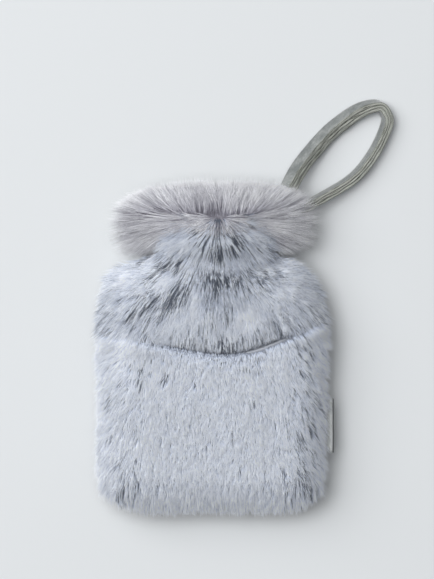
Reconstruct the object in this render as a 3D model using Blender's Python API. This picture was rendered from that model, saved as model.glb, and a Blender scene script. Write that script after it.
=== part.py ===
"""Fur cover of a small hot water bottle, lying on its back with the neck towards +Y.

X runs across the cover, Y from the foot to the neck, Z up from the surface it lies on. The cover is
hollow: a back panel, a front that laps at mid height, a ruff around the neck, a hanging loop and a
blank tab in the right side seam. Sizes and tables are in millimetres, and meshes are in metres.
"""

import math

import bmesh
import bpy
import numpy as np

MM = 0.001

# The body, as sections across it. LEFT and RIGHT are the reach of the fur, CROWN the height of the
# front, and WALL the cloth and pile between the outside and the space for the bottle.
Y, LEFT, RIGHT, CROWN, WALL = range(5)
SECTIONS = np.array([
    # y      left   right  crown  wall
    (-121.2, -47.0, 50.0, 43.0, 13.0),
    (-119.6, -61.0, 61.0, 43.0, 13.0),
    (-114.0, -76.0, 73.0, 43.5, 13.0),
    (-103.5, -84.2, 80.8, 44.5, 13.0),
    (-88.0, -86.8, 82.8, 45.5, 13.0),
    (-40.0, -86.6, 83.2, 46.0, 13.0),
    (5.0, -86.4, 85.2, 46.0, 13.0),
    (26.0, -85.2, 82.6, 45.0, 12.5),
    (42.0, -83.2, 79.2, 44.0, 12.0),
    (54.0, -79.0, 72.5, 42.0, 10.0),
    (62.0, -69.0, 64.0, 40.0, 8.0),
    (66.5, -52.0, 51.0, 38.0, 6.0),
    (70.0, -37.0, 38.0, 36.5, 5.0),
    (108.0, -35.0, 36.0, 36.0, 4.5),
])
SEAM_HEIGHT = 19.0        # side seam above the surface
RIM = 6.0                 # height of the fur's edge on each side of the seam
GAP = 0.3                 # between neighbouring pieces
OUTER_EDGE = 36.0         # how far in from the outline the front goes on rising
UNDER_EDGE = 24.0         # the same for the underside, which is flat further in
HOLLOW_EDGE = 20.0        # the same for the space for the bottle, counted from its own edge
UNDER_WALL = 6.0          # pressed pile and cloth under the bottle
NECK_LIFT = 4.0           # height of the neck's underside
NECK_START = 58.0         # where the underside begins to lift
COLUMNS = 20              # quads across a panel
BOW_ROUNDS = 12           # rounds in which a bowed row settles between the sides

# The lap: the lower front lies on the upper one along a drooping curve.
LAP_X = 5.0               # lowest point of the lap's edge
LAP_Y = -4.9
LAP_SPAN = 50.0
LAP_RISE_LEFT = 8.5       # rise of the edge at LAP_SPAN to the left
LAP_RISE_RIGHT = 15.4
LAP_POWER_LEFT = 1.4      # how late it rises
LAP_POWER_RIGHT = 1.9
TONGUE = 22.0             # length of the upper front under the lower one
TONGUE_THICK = 2.0
TONGUE_ROOM = 5.0         # length over which the lower front closes behind the tongue
LAP_SLOPE = 12.0          # length over which the upper front reaches its full height
LAP_ROUND = 2.5           # rounding of the lower front's turned edge

# Rows of the panels: height along the cover at LAP_X, and the share of the lap's curve that they take.
LOWER_ROWS = [
    (-121.2, 0.0), (-119.6, 0.0), (-114.0, 0.0), (-108.5, 0.0), (-103.5, 0.0), (-96.0, 0.0),
    (-88.0, 0.0), (-78.0, 0.1), (-66.0, 0.3), (-54.0, 0.55), (-42.0, 0.8),
]
UPPER_ROWS = [
    (20.0, 0.7), (33.0, 0.4), (45.0, 0.12), (54.0, 0.0), (58.0, 0.0), (62.0, 0.0), (66.5, 0.0),
    (70.0, 0.0), (80.0, 0.0), (94.0, 0.0), (108.0, 0.0),
]
TONGUE_ROWS = (-14.0, -7.0, -LAP_ROUND, -0.8)
ABOVE_LAP_ROWS = (GAP, 1.0, 3.0, 6.5, LAP_SLOPE)
BACK_MIDDLE_ROWS = (-30.0, -18.0, -6.0, 5.0, 16.0, 26.0, 34.0)

# The ruff: a ring of long fur around the neck.
RUFF_X = 1.1
RUFF_Y = 94.5
RUFF_HALF_WIDTH = 73.8
RUFF_HALF_LENGTH = 26.7
RUFF_MIDDLE = 20.0        # height of the neck's middle
RUFF_TOP = 50.0
RUFF_BELOW = 27.0         # reach below the middle before the surface flattens it
BORE_X = 0.5
BORE_HALF_WIDTH = 38.2
BORE_HALF_HEIGHT = 16.6
BORE_POWER = 3.2
RUFF_POWER = 2.4
RUFF_AROUND = 40
RUFF_SECTION = 16

# The hanging loop: a folded strap on its edge, leaning towards +X. Its middle passes through these
# points; thick is across the folded layers, and lean is how far its upper edge hangs over.
LOOP_ROUTE = np.array([
    # x     y      z     thick  lean
    (58.9, 123.5, 14.4, 6.6, 6.4),
    (60.6, 126.0, 13.4, 6.6, 6.6),
    (64.8, 131.6, 11.0, 6.6, 6.8),
    (72.6, 141.6, 7.6, 6.6, 6.8),
    (83.3, 153.5, 5.4, 6.4, 6.6),
    (92.5, 161.2, 4.8, 6.2, 6.0),
    (103.0, 168.6, 4.9, 6.0, 5.4),
    (112.0, 172.5, 5.0, 5.6, 4.8),
    (120.0, 173.0, 5.1, 5.4, 4.4),
    (124.9, 168.6, 5.2, 5.2, 4.0),
    (125.8, 163.2, 5.2, 5.0, 3.8),
    (122.8, 153.8, 5.2, 4.9, 3.6),
    (117.1, 142.3, 5.2, 4.8, 3.5),
    (107.6, 128.7, 5.3, 4.8, 3.4),
    (97.6, 119.4, 6.4, 4.8, 3.3),
    (84.2, 111.2, 9.6, 4.8, 3.2),
    (74.1, 105.6, 13.1, 4.8, 3.2),
])
LOOP_DEPTH = 9.6          # width of the strap, which stands on its edge
LOOP_LEAN_WAY = (0.78, -0.63)
LOOP_STEPS = 3            # stations between two points of the route

# The blank tab in the right side seam.
TAB_FROM_Y = -76.4
TAB_TO_Y = -37.6
TAB_REACH = 86.8
TAB_THICK = 1.2
TAB_GAP = 0.4             # to the seam, whose outline is a little hollow there

# Colour and roughness of each cloth.
FUR = ((0.55, 0.57, 0.65, 1.0), 0.9)
RUFF_FUR = ((0.50, 0.49, 0.53, 1.0), 0.95)
VELVET = ((0.33, 0.35, 0.34, 1.0), 0.8)
RIBBON = ((0.62, 0.64, 0.65, 1.0), 0.6)
SHARP_FROM = 50.0         # degrees between faces whose edge stays sharp


def column(index, y):
    """One column of SECTIONS at y, on straight lines between the rows."""
    return np.interp(y, SECTIONS[:, Y], SECTIONS[:, index])


def outline_distance(x, y):
    """Distance of each point from the body's outline, which is open at the end of the neck."""
    left = np.column_stack([SECTIONS[::-1, LEFT], SECTIONS[::-1, Y]])
    right = np.column_stack([SECTIONS[:, RIGHT], SECTIONS[:, Y]])
    line = np.vstack([left, right])
    start = line[:-1]
    along = line[1:] - start
    to_point = np.stack([x, y], axis=-1)[..., None, :] - start
    share = (to_point * along).sum(-1) / (along ** 2).sum(-1)
    nearest = np.clip(share, 0.0, 1.0)[..., None] * along
    return np.sqrt(((to_point - nearest) ** 2).sum(-1)).min(-1)


def swell(distance, edge):
    """0 at the outline, rising on a quarter of an ellipse to 1 at edge and beyond."""
    share = np.clip(distance / edge, 0.0, 1.0)
    return np.sqrt(1.0 - (1.0 - share) ** 2)


def smooth(share):
    """0 to 1 with level ends."""
    share = np.clip(share, 0.0, 1.0)
    return share * share * (3.0 - 2.0 * share)


def front_height(x, y):
    """Outside of the front."""
    start = SEAM_HEIGHT + RIM
    return start + (column(CROWN, y) - start) * swell(outline_distance(x, y), OUTER_EDGE)


def under_lift(y):
    """Height of the lowest part of the back: on the surface, and lifted under the neck."""
    return NECK_LIFT * smooth((y - NECK_START) / (SECTIONS[-2, Y] - NECK_START))


def under_height(x, y):
    """Outside of the back."""
    start = SEAM_HEIGHT - RIM
    return start + (under_lift(y) - start) * swell(outline_distance(x, y), UNDER_EDGE)


def hollow_share(x, y):
    """0 in the seam, rising on a parabola to 1 where the space for the bottle has its full height."""
    share = np.clip((outline_distance(x, y) - column(WALL, y)) / HOLLOW_EDGE, 0.0, 1.0)
    return 1.0 - (1.0 - share) ** 2


def hollow_top(x, y):
    """Inside of the front."""
    start = SEAM_HEIGHT + GAP / 2
    return start + (column(CROWN, y) - column(WALL, y) - start) * hollow_share(x, y)


def hollow_floor(x, y):
    """Inside of the back."""
    start = SEAM_HEIGHT - GAP / 2
    return start + (under_lift(y) + UNDER_WALL - start) * hollow_share(x, y)


def lap_rise(x):
    """Rise of the lap's edge above its lowest point."""
    away = np.abs(x - LAP_X) / LAP_SPAN
    left = LAP_RISE_LEFT * away ** LAP_POWER_LEFT
    return np.where(x < LAP_X, left, LAP_RISE_RIGHT * away ** LAP_POWER_RIGHT)


def panel_points(rows):
    """x and y of a panel's grid: rows of points from the left outline to the right one."""
    across = 0.5 - 0.5 * np.cos(np.pi * np.arange(COLUMNS + 1) / COLUMNS)
    base, bow = (np.array(values)[:, None] for values in zip(*rows))
    y = np.broadcast_to(base, (len(rows), COLUMNS + 1))
    for _ in range(BOW_ROUNDS):
        x = column(LEFT, y) + (column(RIGHT, y) - column(LEFT, y)) * across
        y = base + bow * lap_rise(x)
    return x, y


def add_object(name, mesh_data, cloth):
    """Link an object with its own material."""
    material = bpy.data.materials.new(name + "_cloth")
    material.use_nodes = True
    shader = material.node_tree.nodes["Principled BSDF"]
    shader.inputs["Base Color"].default_value, shader.inputs["Roughness"].default_value = cloth
    mesh = bpy.data.meshes.new(name)
    mesh_data.to_mesh(mesh)
    mesh_data.free()
    mesh.materials.append(material)
    mesh.shade_smooth()
    mesh.set_sharp_from_angle(angle=math.radians(SHARP_FROM))
    obj = bpy.data.objects.new(name, mesh)
    bpy.context.scene.collection.objects.link(obj)


def add_panel(name, rows, floor, top):
    """A panel of cloth and pile: two sheets of one grid, floor and top, joined around their rim."""
    x, y = panel_points(rows)
    count_y, count_x = x.shape
    data = bmesh.new()
    sheets = []
    for z in (floor(x, y), top(x, y)):
        sheets.append([[data.verts.new((x[j, i] * MM, y[j, i] * MM, z[j, i] * MM)) for i in range(count_x)]
                       for j in range(count_y)])
    below, above = sheets
    for j in range(count_y - 1):
        for i in range(count_x - 1):
            data.faces.new((above[j][i], above[j][i + 1], above[j + 1][i + 1], above[j + 1][i]))
            data.faces.new((below[j][i], below[j + 1][i], below[j + 1][i + 1], below[j][i + 1]))
    last_y, last_x = count_y - 1, count_x - 1
    rim = [(0, i) for i in range(last_x)] + [(j, last_x) for j in range(last_y)]
    rim += [(last_y, i) for i in range(last_x, 0, -1)] + [(j, 0) for j in range(last_y, 0, -1)]
    for (j, i), (next_j, next_i) in zip(rim, rim[1:] + rim[:1]):
        data.faces.new((below[j][i], below[next_j][next_i], above[next_j][next_i], above[j][i]))
    add_object(name, data, FUR)


def lap_rows(offsets):
    """Rows that run along the lap's edge, each at its distance above it."""
    return [(LAP_Y + offset, 1.0) for offset in offsets]


def above_lap(x, y):
    """Distance of each point above the lap's edge, along Y."""
    return y - LAP_Y - lap_rise(x)


def lower_front_floor(x, y):
    """Inside of the lower front, raised where it lies on the tongue."""
    behind = -above_lap(x, y) - TONGUE - 2 * GAP
    return hollow_top(x, y) + (TONGUE_THICK + GAP) * smooth(1.0 - behind / TONGUE_ROOM)


def lower_front_top(x, y):
    """Outside of the lower front, turned over at its edge."""
    away = np.clip(-above_lap(x, y) / LAP_ROUND, 0.0, 1.0)
    return front_height(x, y) - LAP_ROUND * (1.0 - swell(away, 1.0))


def upper_front_top(x, y):
    """Outside of the upper front: the tongue, then a slope up to the full height."""
    tongue = hollow_top(x, y) + TONGUE_THICK
    rise = smooth(np.sqrt(np.clip(above_lap(x, y) - GAP, 0.0, None) / LAP_SLOPE))
    return tongue + (front_height(x, y) - tongue) * rise


def add_back():
    """The back panel, from the foot to the end of the neck."""
    bases = [base for base, _ in LOWER_ROWS] + list(BACK_MIDDLE_ROWS)
    bases += [base for base, _ in UPPER_ROWS if base > BACK_MIDDLE_ROWS[-1]]
    add_panel("back_panel", [(base, 0.0) for base in bases], under_height, hollow_floor)


def add_lower_front():
    """The front from the foot to the lap."""
    behind = TONGUE + 2 * GAP
    rows = LOWER_ROWS + lap_rows((-behind - TONGUE_ROOM, -behind, *TONGUE_ROWS, 0.0))
    add_panel("front_lower", rows, lower_front_floor, lower_front_top)


def add_upper_front():
    """The front from its tongue under the lap to the end of the neck."""
    rows = lap_rows((-TONGUE, *TONGUE_ROWS, *ABOVE_LAP_ROWS))
    add_panel("front_upper", rows + UPPER_ROWS, hollow_top, upper_front_top)


def power_wave(angle, power):
    """Cosine and sine of a superellipse."""
    cos, sin = np.cos(angle), np.sin(angle)
    return np.sign(cos) * np.abs(cos) ** (2.0 / power), np.sign(sin) * np.abs(sin) ** (2.0 / power)


def add_ruff():
    """The ruff: a ring between the bore and the outline, round in section, flat where it lies."""
    around = 2.0 * np.pi * np.arange(RUFF_AROUND)[:, None] / RUFF_AROUND
    section = 2.0 * np.pi * np.arange(RUFF_SECTION)[None, :] / RUFF_SECTION
    bore_cos, bore_sin = power_wave(around, BORE_POWER)
    outer_cos, outer_sin = power_wave(around, RUFF_POWER)
    bore_x = BORE_X + BORE_HALF_WIDTH * bore_cos
    bore_z = RUFF_MIDDLE + BORE_HALF_HEIGHT * bore_sin
    outer_x = RUFF_X + RUFF_HALF_WIDTH * outer_cos
    outer_reach = np.where(outer_sin > 0.0, RUFF_TOP - RUFF_MIDDLE, RUFF_BELOW)
    outer_z = RUFF_MIDDLE + outer_reach * outer_sin
    out, along = power_wave(section, RUFF_POWER)
    share = 0.5 + 0.5 * out
    x = bore_x + (outer_x - bore_x) * share
    z = np.maximum(bore_z + (outer_z - bore_z) * share, 0.0)
    y = np.broadcast_to(RUFF_Y + RUFF_HALF_LENGTH * along, x.shape)
    data = bmesh.new()
    rings = [[data.verts.new((x[i, k] * MM, y[i, k] * MM, z[i, k] * MM)) for k in range(RUFF_SECTION)]
             for i in range(RUFF_AROUND)]
    for i, ring in enumerate(rings):
        after = rings[(i + 1) % RUFF_AROUND]
        for k in range(RUFF_SECTION):
            next_k = (k + 1) % RUFF_SECTION
            data.faces.new((ring[k], ring[next_k], after[next_k], after[k]))
    bmesh.ops.recalc_face_normals(data, faces=data.faces)
    add_object("neck_ruff", data, RUFF_FUR)


def through_points(points, steps):
    """A Catmull-Rom curve through the rows of points, with steps stations in each span."""
    padded = np.vstack([2 * points[0] - points[1], points, 2 * points[-1] - points[-2]])
    share = np.arange(steps)[:, None] / steps
    spans = []
    for a, b, c, d in zip(padded, padded[1:], padded[2:], padded[3:]):
        spans.append(0.5 * (2 * b + (c - a) * share + (2 * a - 5 * b + 4 * c - d) * share ** 2
                            + (3 * b - a - 3 * c + d) * share ** 3))
    return np.vstack(spans + [points[-1:]])


def add_loop():
    """The hanging loop: the strap's section, with cut corners, carried along its route."""
    stations = through_points(LOOP_ROUTE, LOOP_STEPS)
    middle, thick, lean = stations[:, :3], stations[:, 3], stations[:, 4]
    tangent = np.gradient(middle, axis=0)
    tangent /= np.linalg.norm(tangent, axis=1, keepdims=True)
    rise = np.sqrt(LOOP_DEPTH ** 2 - lean ** 2)
    up = np.column_stack([lean * LOOP_LEAN_WAY[0], lean * LOOP_LEAN_WAY[1], rise])
    up -= (up * tangent).sum(1, keepdims=True) * tangent
    up /= np.linalg.norm(up, axis=1, keepdims=True)
    side = np.cross(tangent, up)
    half_t, half_d = thick[:, None] / 2, LOOP_DEPTH / 2
    corner = 0.3
    outline = [(-1, -1 + corner), (-1 + 2 * corner, -1), (1 - 2 * corner, -1), (1, -1 + corner),
               (1, 1 - corner), (1 - 2 * corner, 1), (-1 + 2 * corner, 1), (-1, 1 - corner)]
    rings = np.stack([middle + side * half_t * s + up * half_d * u for s, u in outline], axis=1)
    data = bmesh.new()
    verts = [[data.verts.new(point * MM) for point in ring] for ring in rings]
    for ring, after in zip(verts, verts[1:]):
        for k in range(len(outline)):
            next_k = (k + 1) % len(outline)
            data.faces.new((ring[k], ring[next_k], after[next_k], after[k]))
    data.faces.new(verts[0][::-1])
    data.faces.new(verts[-1])
    bmesh.ops.recalc_face_normals(data, faces=data.faces)
    add_object("hanging_loop", data, VELVET)


def add_tab():
    """The blank ribbon tab, from the seam out past the fur."""
    near = column(RIGHT, TAB_TO_Y) + TAB_GAP
    data = bmesh.new()
    bmesh.ops.create_cube(data, size=1.0)
    size = ((TAB_REACH - near) * MM, (TAB_TO_Y - TAB_FROM_Y) * MM, TAB_THICK * MM)
    centre = ((TAB_REACH + near) / 2 * MM, (TAB_TO_Y + TAB_FROM_Y) / 2 * MM, SEAM_HEIGHT * MM)
    bmesh.ops.scale(data, vec=size, verts=data.verts)
    bmesh.ops.translate(data, vec=centre, verts=data.verts)
    add_object("side_tab", data, RIBBON)


def main():
    """Clear the scene and make each piece."""
    for obj in list(bpy.context.scene.objects):
        bpy.data.objects.remove(obj, do_unlink=True)
    add_back()
    add_lower_front()
    add_upper_front()
    add_ruff()
    add_loop()
    add_tab()


main()
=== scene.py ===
"""The looks of a fur hot water bottle cover that lies on its back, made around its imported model.

X runs across the cover, Y from the foot to the neck, and Z up from the floor. Shapes are worked out in
millimetres as whole arrays, and the meshes are in metres. The cover is three panels of cloth with a pile
of hairs, a cuff with a ruff of long hairs around the neck, a folded velvet loop and a blank ribbon tab.
"""

import logging
import math
from dataclasses import dataclass, field
from enum import Enum
from typing import Callable

import bpy
import numpy as np
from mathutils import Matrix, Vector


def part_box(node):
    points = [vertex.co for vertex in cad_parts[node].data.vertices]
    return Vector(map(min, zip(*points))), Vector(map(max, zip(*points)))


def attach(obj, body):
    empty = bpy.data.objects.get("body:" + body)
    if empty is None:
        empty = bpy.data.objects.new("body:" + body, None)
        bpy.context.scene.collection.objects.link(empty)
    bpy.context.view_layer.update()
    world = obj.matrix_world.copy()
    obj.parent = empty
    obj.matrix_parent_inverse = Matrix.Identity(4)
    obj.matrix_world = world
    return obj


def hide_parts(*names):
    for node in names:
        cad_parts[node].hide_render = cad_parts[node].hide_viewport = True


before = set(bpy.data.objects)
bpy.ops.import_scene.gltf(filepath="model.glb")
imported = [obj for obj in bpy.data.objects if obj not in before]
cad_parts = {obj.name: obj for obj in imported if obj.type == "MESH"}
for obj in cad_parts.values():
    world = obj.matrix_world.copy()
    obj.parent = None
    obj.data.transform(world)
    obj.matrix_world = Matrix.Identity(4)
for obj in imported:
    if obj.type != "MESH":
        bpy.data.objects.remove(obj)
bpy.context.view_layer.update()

Array = np.ndarray
Colour = tuple[float, float, float]
Socket = bpy.types.NodeSocket

LOG = logging.getLogger("cover")
MM = 0.001
BODY = "root"
PHOTO_WIDTH = 434
PHOTO_HEIGHT = 579
BAKE_MAP = "OFBake"


class Slot(Enum):
    """The record's material slots."""

    FUR = "fur"
    RUFF_FUR = "ruff_fur"
    VELVET = "velvet"
    RIBBON = "ribbon"


# ---------------------------------------------------------------- curves, noise and meshes


def smooth(share: Array) -> Array:
    """0 to 1 with level ends: 3 s^2 - 2 s^3 of the clipped share."""
    share = np.clip(share, 0.0, 1.0)
    return share * share * (3.0 - 2.0 * share)


def swell(share: Array) -> Array:
    """0 to 1 on a quarter of an ellipse, steep at 0 and level at 1."""
    return np.sqrt(1.0 - (1.0 - np.clip(share, 0.0, 1.0)) ** 2)


def unit(vectors: Array) -> Array:
    """Each row of vectors divided by its length."""
    return vectors / np.maximum(np.linalg.norm(vectors, axis=-1, keepdims=True), 1e-9)


def level(flat: Array) -> Array:
    """Directions in plan, as level ones in space."""
    return np.column_stack([flat, np.zeros(len(flat))])


def power_wave(angle: Array, power: float) -> tuple[Array, Array]:
    """Cosine and sine of a superellipse: sign(c) |c|^(2 / power) of the round ones."""
    cos, sin = np.cos(angle), np.sin(angle)
    return np.sign(cos) * np.abs(cos) ** (2.0 / power), np.sign(sin) * np.abs(sin) ** (2.0 / power)


def through_points(points: Array, steps: int) -> Array:
    """A Catmull-Rom curve through the rows of points.

    Args:
        points: One row for each point, with any number of columns.
        steps: Stations in each span between two points.

    Returns:
        The stations, one row each, the first and the last point among them.
    """
    padded = np.vstack([2 * points[0] - points[1], points, 2 * points[-1] - points[-2]])
    share = np.arange(steps)[None, :, None] / steps
    a, b, c, d = (padded[k:len(padded) - 3 + k, None, :] for k in range(4))
    spans = 0.5 * (2 * b + (c - a) * share + (2 * a - 5 * b + 4 * c - d) * share ** 2
                   + (3 * b - a - 3 * c + d) * share ** 3)
    return np.vstack([spans.reshape(-1, points.shape[1]), points[-1:]])


class Noise:
    """Seeded noise in the plane, from a lattice of random values that repeats every SIZE cells."""

    SIZE = 128

    def __init__(self, seed: int) -> None:
        """Draw the lattice: three random values for each cell."""
        self.lattice = np.random.default_rng(seed).random((self.SIZE, self.SIZE, 3))

    def at(self, column: Array, row: Array) -> Array:
        """The three values of the cells at these whole numbers."""
        return self.lattice[row.astype(int) % self.SIZE, column.astype(int) % self.SIZE]

    def soft(self, x: Array, y: Array, across: float, along: float = 0.0) -> Array:
        """Smooth noise from -1 to 1: the lattice's values, blended with level-ended weights.

        Args:
            x, y: The places.
            across, along: Size of a cell along x and along y, the same if along is 0.

        Returns:
            One value for each place.
        """
        u, v = x / across, y / (along or across)
        column, row = np.floor(u), np.floor(v)
        s, t = smooth(u - column), smooth(v - row)
        low = self.at(column, row)[..., 0] * (1 - s) + self.at(column + 1, row)[..., 0] * s
        high = self.at(column, row + 1)[..., 0] * (1 - s) + self.at(column + 1, row + 1)[..., 0] * s
        return 2.0 * (low * (1 - t) + high * t) - 1.0

    def tufts(self, x: Array, y: Array, size: float) -> tuple[Array, Array, Array]:
        """The tuft that each place belongs to: the nearest of one random centre in each cell.

        Args:
            x, y: The places.
            size: Size of a cell.

        Returns:
            x and y of the tuft's centre, and the tuft's own random value from 0 to 1.
        """
        column, row = np.floor(x / size), np.floor(y / size)
        step_x, step_y = (step.ravel() for step in np.meshgrid([-1, 0, 1], [-1, 0, 1]))
        near_x, near_y = column[:, None] + step_x, row[:, None] + step_y
        values = self.at(near_x, near_y)
        centre_x, centre_y = (near_x + values[..., 0]) * size, (near_y + values[..., 1]) * size
        nearest = ((centre_x - x[:, None]) ** 2 + (centre_y - y[:, None]) ** 2).argmin(1)
        pick = np.arange(len(x)), nearest
        return centre_x[pick], centre_y[pick], values[..., 2][pick]

    def streaks(self, x: Array, y: Array, way: Array, size: float, width: float) -> Array:
        """A random value from 0 to 1 for each place, the same along a narrow streak that follows the nap.

        The streak is floor(u / width), with u the distance of a place from the middle of its tuft, square
        to the nap. Each tuft has its own values.

        Args:
            x, y: The places.
            way: Unit direction of the nap.
            size: Size of a tuft, which is about the length of a streak.
            width: Width of a streak.

        Returns:
            One value for each place.
        """
        centre_x, centre_y, own = self.tufts(x, y, size)
        off = (x - centre_x) * way[:, 1] - (y - centre_y) * way[:, 0]
        index = np.floor(off / width + 50.0 * own)
        return self.at(index + np.floor(997.0 * own), np.floor(7919.0 * own))[..., 0]


@dataclass
class Surface:
    """A mesh as arrays: points in millimetres, faces with four and three corners, and the points' values."""

    points: Array
    quads: Array
    triangles: Array = field(default_factory=lambda: np.zeros((0, 3), int))
    values: dict[str, Array] = field(default_factory=dict)
    place: Array | None = None
    normals: Array | None = None

    def piece(self, name: str, material: bpy.types.Material, slot: Slot) -> bpy.types.Object:
        """Make the object, which rides on the cover's body.

        Args:
            name: The piece's name.
            material: Its material.
            slot: A material slot of the record; not used.

        Returns:
            The new object, with a UV map if the surface has places for its points.
        """
        corners = np.concatenate([self.quads.ravel(), self.triangles.ravel()]).astype(np.int32)
        starts = np.concatenate([4 * np.arange(len(self.quads)),
                                 4 * len(self.quads) + 3 * np.arange(len(self.triangles))])
        mesh = bpy.data.meshes.new(name)
        mesh.vertices.add(len(self.points))
        mesh.vertices.foreach_set("co", (self.points * MM).astype(np.float32).ravel())
        mesh.loops.add(len(corners))
        mesh.loops.foreach_set("vertex_index", corners)
        mesh.polygons.add(len(starts))
        mesh.polygons.foreach_set("loop_start", starts.astype(np.int32))
        mesh.polygons.foreach_set("use_smooth", np.ones(len(starts), bool))
        if self.place is not None:
            layer = mesh.uv_layers.new(name=BAKE_MAP)
            layer.data.foreach_set("uv", self.place[corners].astype(np.float32).ravel())
        for key, value in self.values.items():
            attribute = mesh.attributes.new(key, "FLOAT", "POINT")
            attribute.data.foreach_set("value", value.astype(np.float32).ravel())
        mesh.update(calc_edges=True)
        if self.normals is not None:
            mesh.normals_split_custom_set_from_vertices(self.normals.astype(np.float32))
        mesh.materials.append(material)
        obj = bpy.data.objects.new(name, mesh)
        bpy.context.scene.collection.objects.link(obj)
        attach(obj, BODY)
        LOG.info("%s: %d faces", name, len(starts))
        return obj


def grid(rows: int, columns: int, closed: bool = False) -> Array:
    """Faces of a grid of points, row by row, that face up where columns run along X and rows along Y.

    Args:
        rows, columns: Size of the grid.
        closed: Whether the last column joins the first one.

    Returns:
        The corners of each face.
    """
    row = np.arange(rows - 1)[:, None] * columns
    column = np.arange(columns if closed else columns - 1)[None, :]
    after, above = (column + 1) % columns, row + columns
    return np.stack([row + column, row + after, above + after, above + column], -1).reshape(-1, 4)


def closed_sheet(outer: Array, inner: Array) -> Surface:
    """A sheet with a thickness: two grids of points, joined around their rim.

    Args:
        outer, inner: Grids of points, rows by columns by 3. The outer one is above, seen along -Z.

    Returns:
        The closed surface, with a value "inside" that is 1 on the inner grid.
    """
    rows, columns = outer.shape[:2]
    count = rows * columns
    index = np.arange(count).reshape(rows, columns)
    rim = np.concatenate([index[0, :-1], index[:-1, -1], index[-1, :0:-1], index[:0:-1, 0]])
    after = np.roll(rim, -1)
    faces = grid(rows, columns)
    sides = np.stack([rim + count, after + count, after, rim], -1)
    inside = np.repeat([0.0, 1.0], count)
    points = np.vstack([outer.reshape(-1, 3), inner.reshape(-1, 3)])
    return Surface(points, np.vstack([faces, faces[:, ::-1] + count, sides]), values={"inside": inside})


# ---------------------------------------------------------------- shader nodes


class Nodes:
    """A node tree with short calls to add nodes and to join them."""

    def __init__(self, tree: bpy.types.NodeTree) -> None:
        """Work on this tree."""
        self.tree = tree

    def add(self, kind: str, inputs: dict | None = None, **settings: object) -> bpy.types.Node:
        """Add a node.

        Args:
            kind: The node's type, without "ShaderNode".
            inputs: Values or sockets for its inputs, by name or number.
            settings: Its other settings.

        Returns:
            The node.
        """
        node = self.tree.nodes.new("ShaderNode" + kind)
        for name, value in settings.items():
            setattr(node, name, value)
        for name, value in (inputs or {}).items():
            self.put(node.inputs[name], value)
        return node

    def put(self, socket: Socket, value: object) -> None:
        """Join a socket to this input, or set the input's value. A colour of three numbers gets alpha 1."""
        if isinstance(value, bpy.types.NodeSocket):
            self.tree.links.new(value, socket)
        elif socket.type == "RGBA" and len(value) == 3:
            socket.default_value = (*value, 1.0)
        else:
            socket.default_value = value

    def sum(self, operation: str, *values: object) -> Socket:
        """The result of a Math node on these values or sockets."""
        return self.add("Math", dict(enumerate(values)), operation=operation).outputs[0]

    def ramp(self, value: Socket, low: object, high: object, to_low: float = 0.0,
             to_high: float = 1.0) -> Socket:
        """The value, taken smoothly from low..high to to_low..to_high."""
        inputs = {"Value": value, "From Min": low, "From Max": high, "To Min": to_low, "To Max": to_high}
        return self.add("MapRange", inputs, interpolation_type="SMOOTHSTEP").outputs[0]

    def mix(self, share: object, first: object, second: object, how: str = "MIX") -> Socket:
        """A mix of two colours."""
        node = self.add("Mix", {0: share, 6: first, 7: second}, data_type="RGBA", blend_type=how)
        return node.outputs[2]

    def noise(self, place: Socket, scale: object, detail: float = 2.0, roughness: float = 0.5) -> Socket:
        """Values of a noise from 0 to 1 at a place."""
        inputs = {"Vector": place, "Scale": scale, "Detail": detail, "Roughness": roughness}
        return self.add("TexNoise", inputs).outputs[0]

    def own_map(self) -> Socket:
        """Places on the piece's own map."""
        return self.add("UVMap", uv_map=BAKE_MAP).outputs[0]

    def value(self, name: str) -> Socket:
        """A value that the piece's mesh holds, 0 where it holds none of that name."""
        return self.add("Attribute", attribute_name=name).outputs["Fac"]

    def shaded(self, colour: Socket, light: Socket) -> Socket:
        """The colour times a grey."""
        grey = self.add("CombineColor", {0: light, 1: light, 2: light}).outputs[0]
        return self.mix(1.0, colour, grey, "MULTIPLY")

    def bump(self, shader: bpy.types.Node, height: Socket, strength: float, depth: float) -> None:
        """Give the shader normals that follow a height, with its depth in metres."""
        node = self.add("Bump", {"Height": height, "Strength": strength, "Distance": depth})
        self.put(shader.inputs["Normal"], node.outputs[0])


def shader_group(name: str, inputs: dict[str, tuple[str, object]], outputs: dict[str, str],
                 build: Callable[[Nodes, dict[str, Socket]], dict[str, Socket]]) -> bpy.types.NodeTree:
    """A shader node group, made once.

    Args:
        name: The group's name.
        inputs: For each input, its kind (Float, Color or Vector) and its first value.
        outputs: For each output, its kind.
        build: Adds the nodes, given the input sockets, and returns the sockets for the outputs.

    Returns:
        The group, a new one only if there is none of that name.
    """
    if name in bpy.data.node_groups:
        return bpy.data.node_groups[name]
    tree = bpy.data.node_groups.new(name, "ShaderNodeTree")
    for key, (kind, value) in inputs.items():
        socket = tree.interface.new_socket(name=key, in_out="INPUT", socket_type="NodeSocket" + kind)
        if value is not None:
            socket.default_value = (*value, 1.0) if kind == "Color" else value
    for key, kind in outputs.items():
        tree.interface.new_socket(name=key, in_out="OUTPUT", socket_type="NodeSocket" + kind)
    entry, end = tree.nodes.new("NodeGroupInput"), tree.nodes.new("NodeGroupOutput")
    for key, socket in build(Nodes(tree), {key: entry.outputs[key] for key in inputs}).items():
        tree.links.new(socket, end.inputs[key])
    return tree


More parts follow.
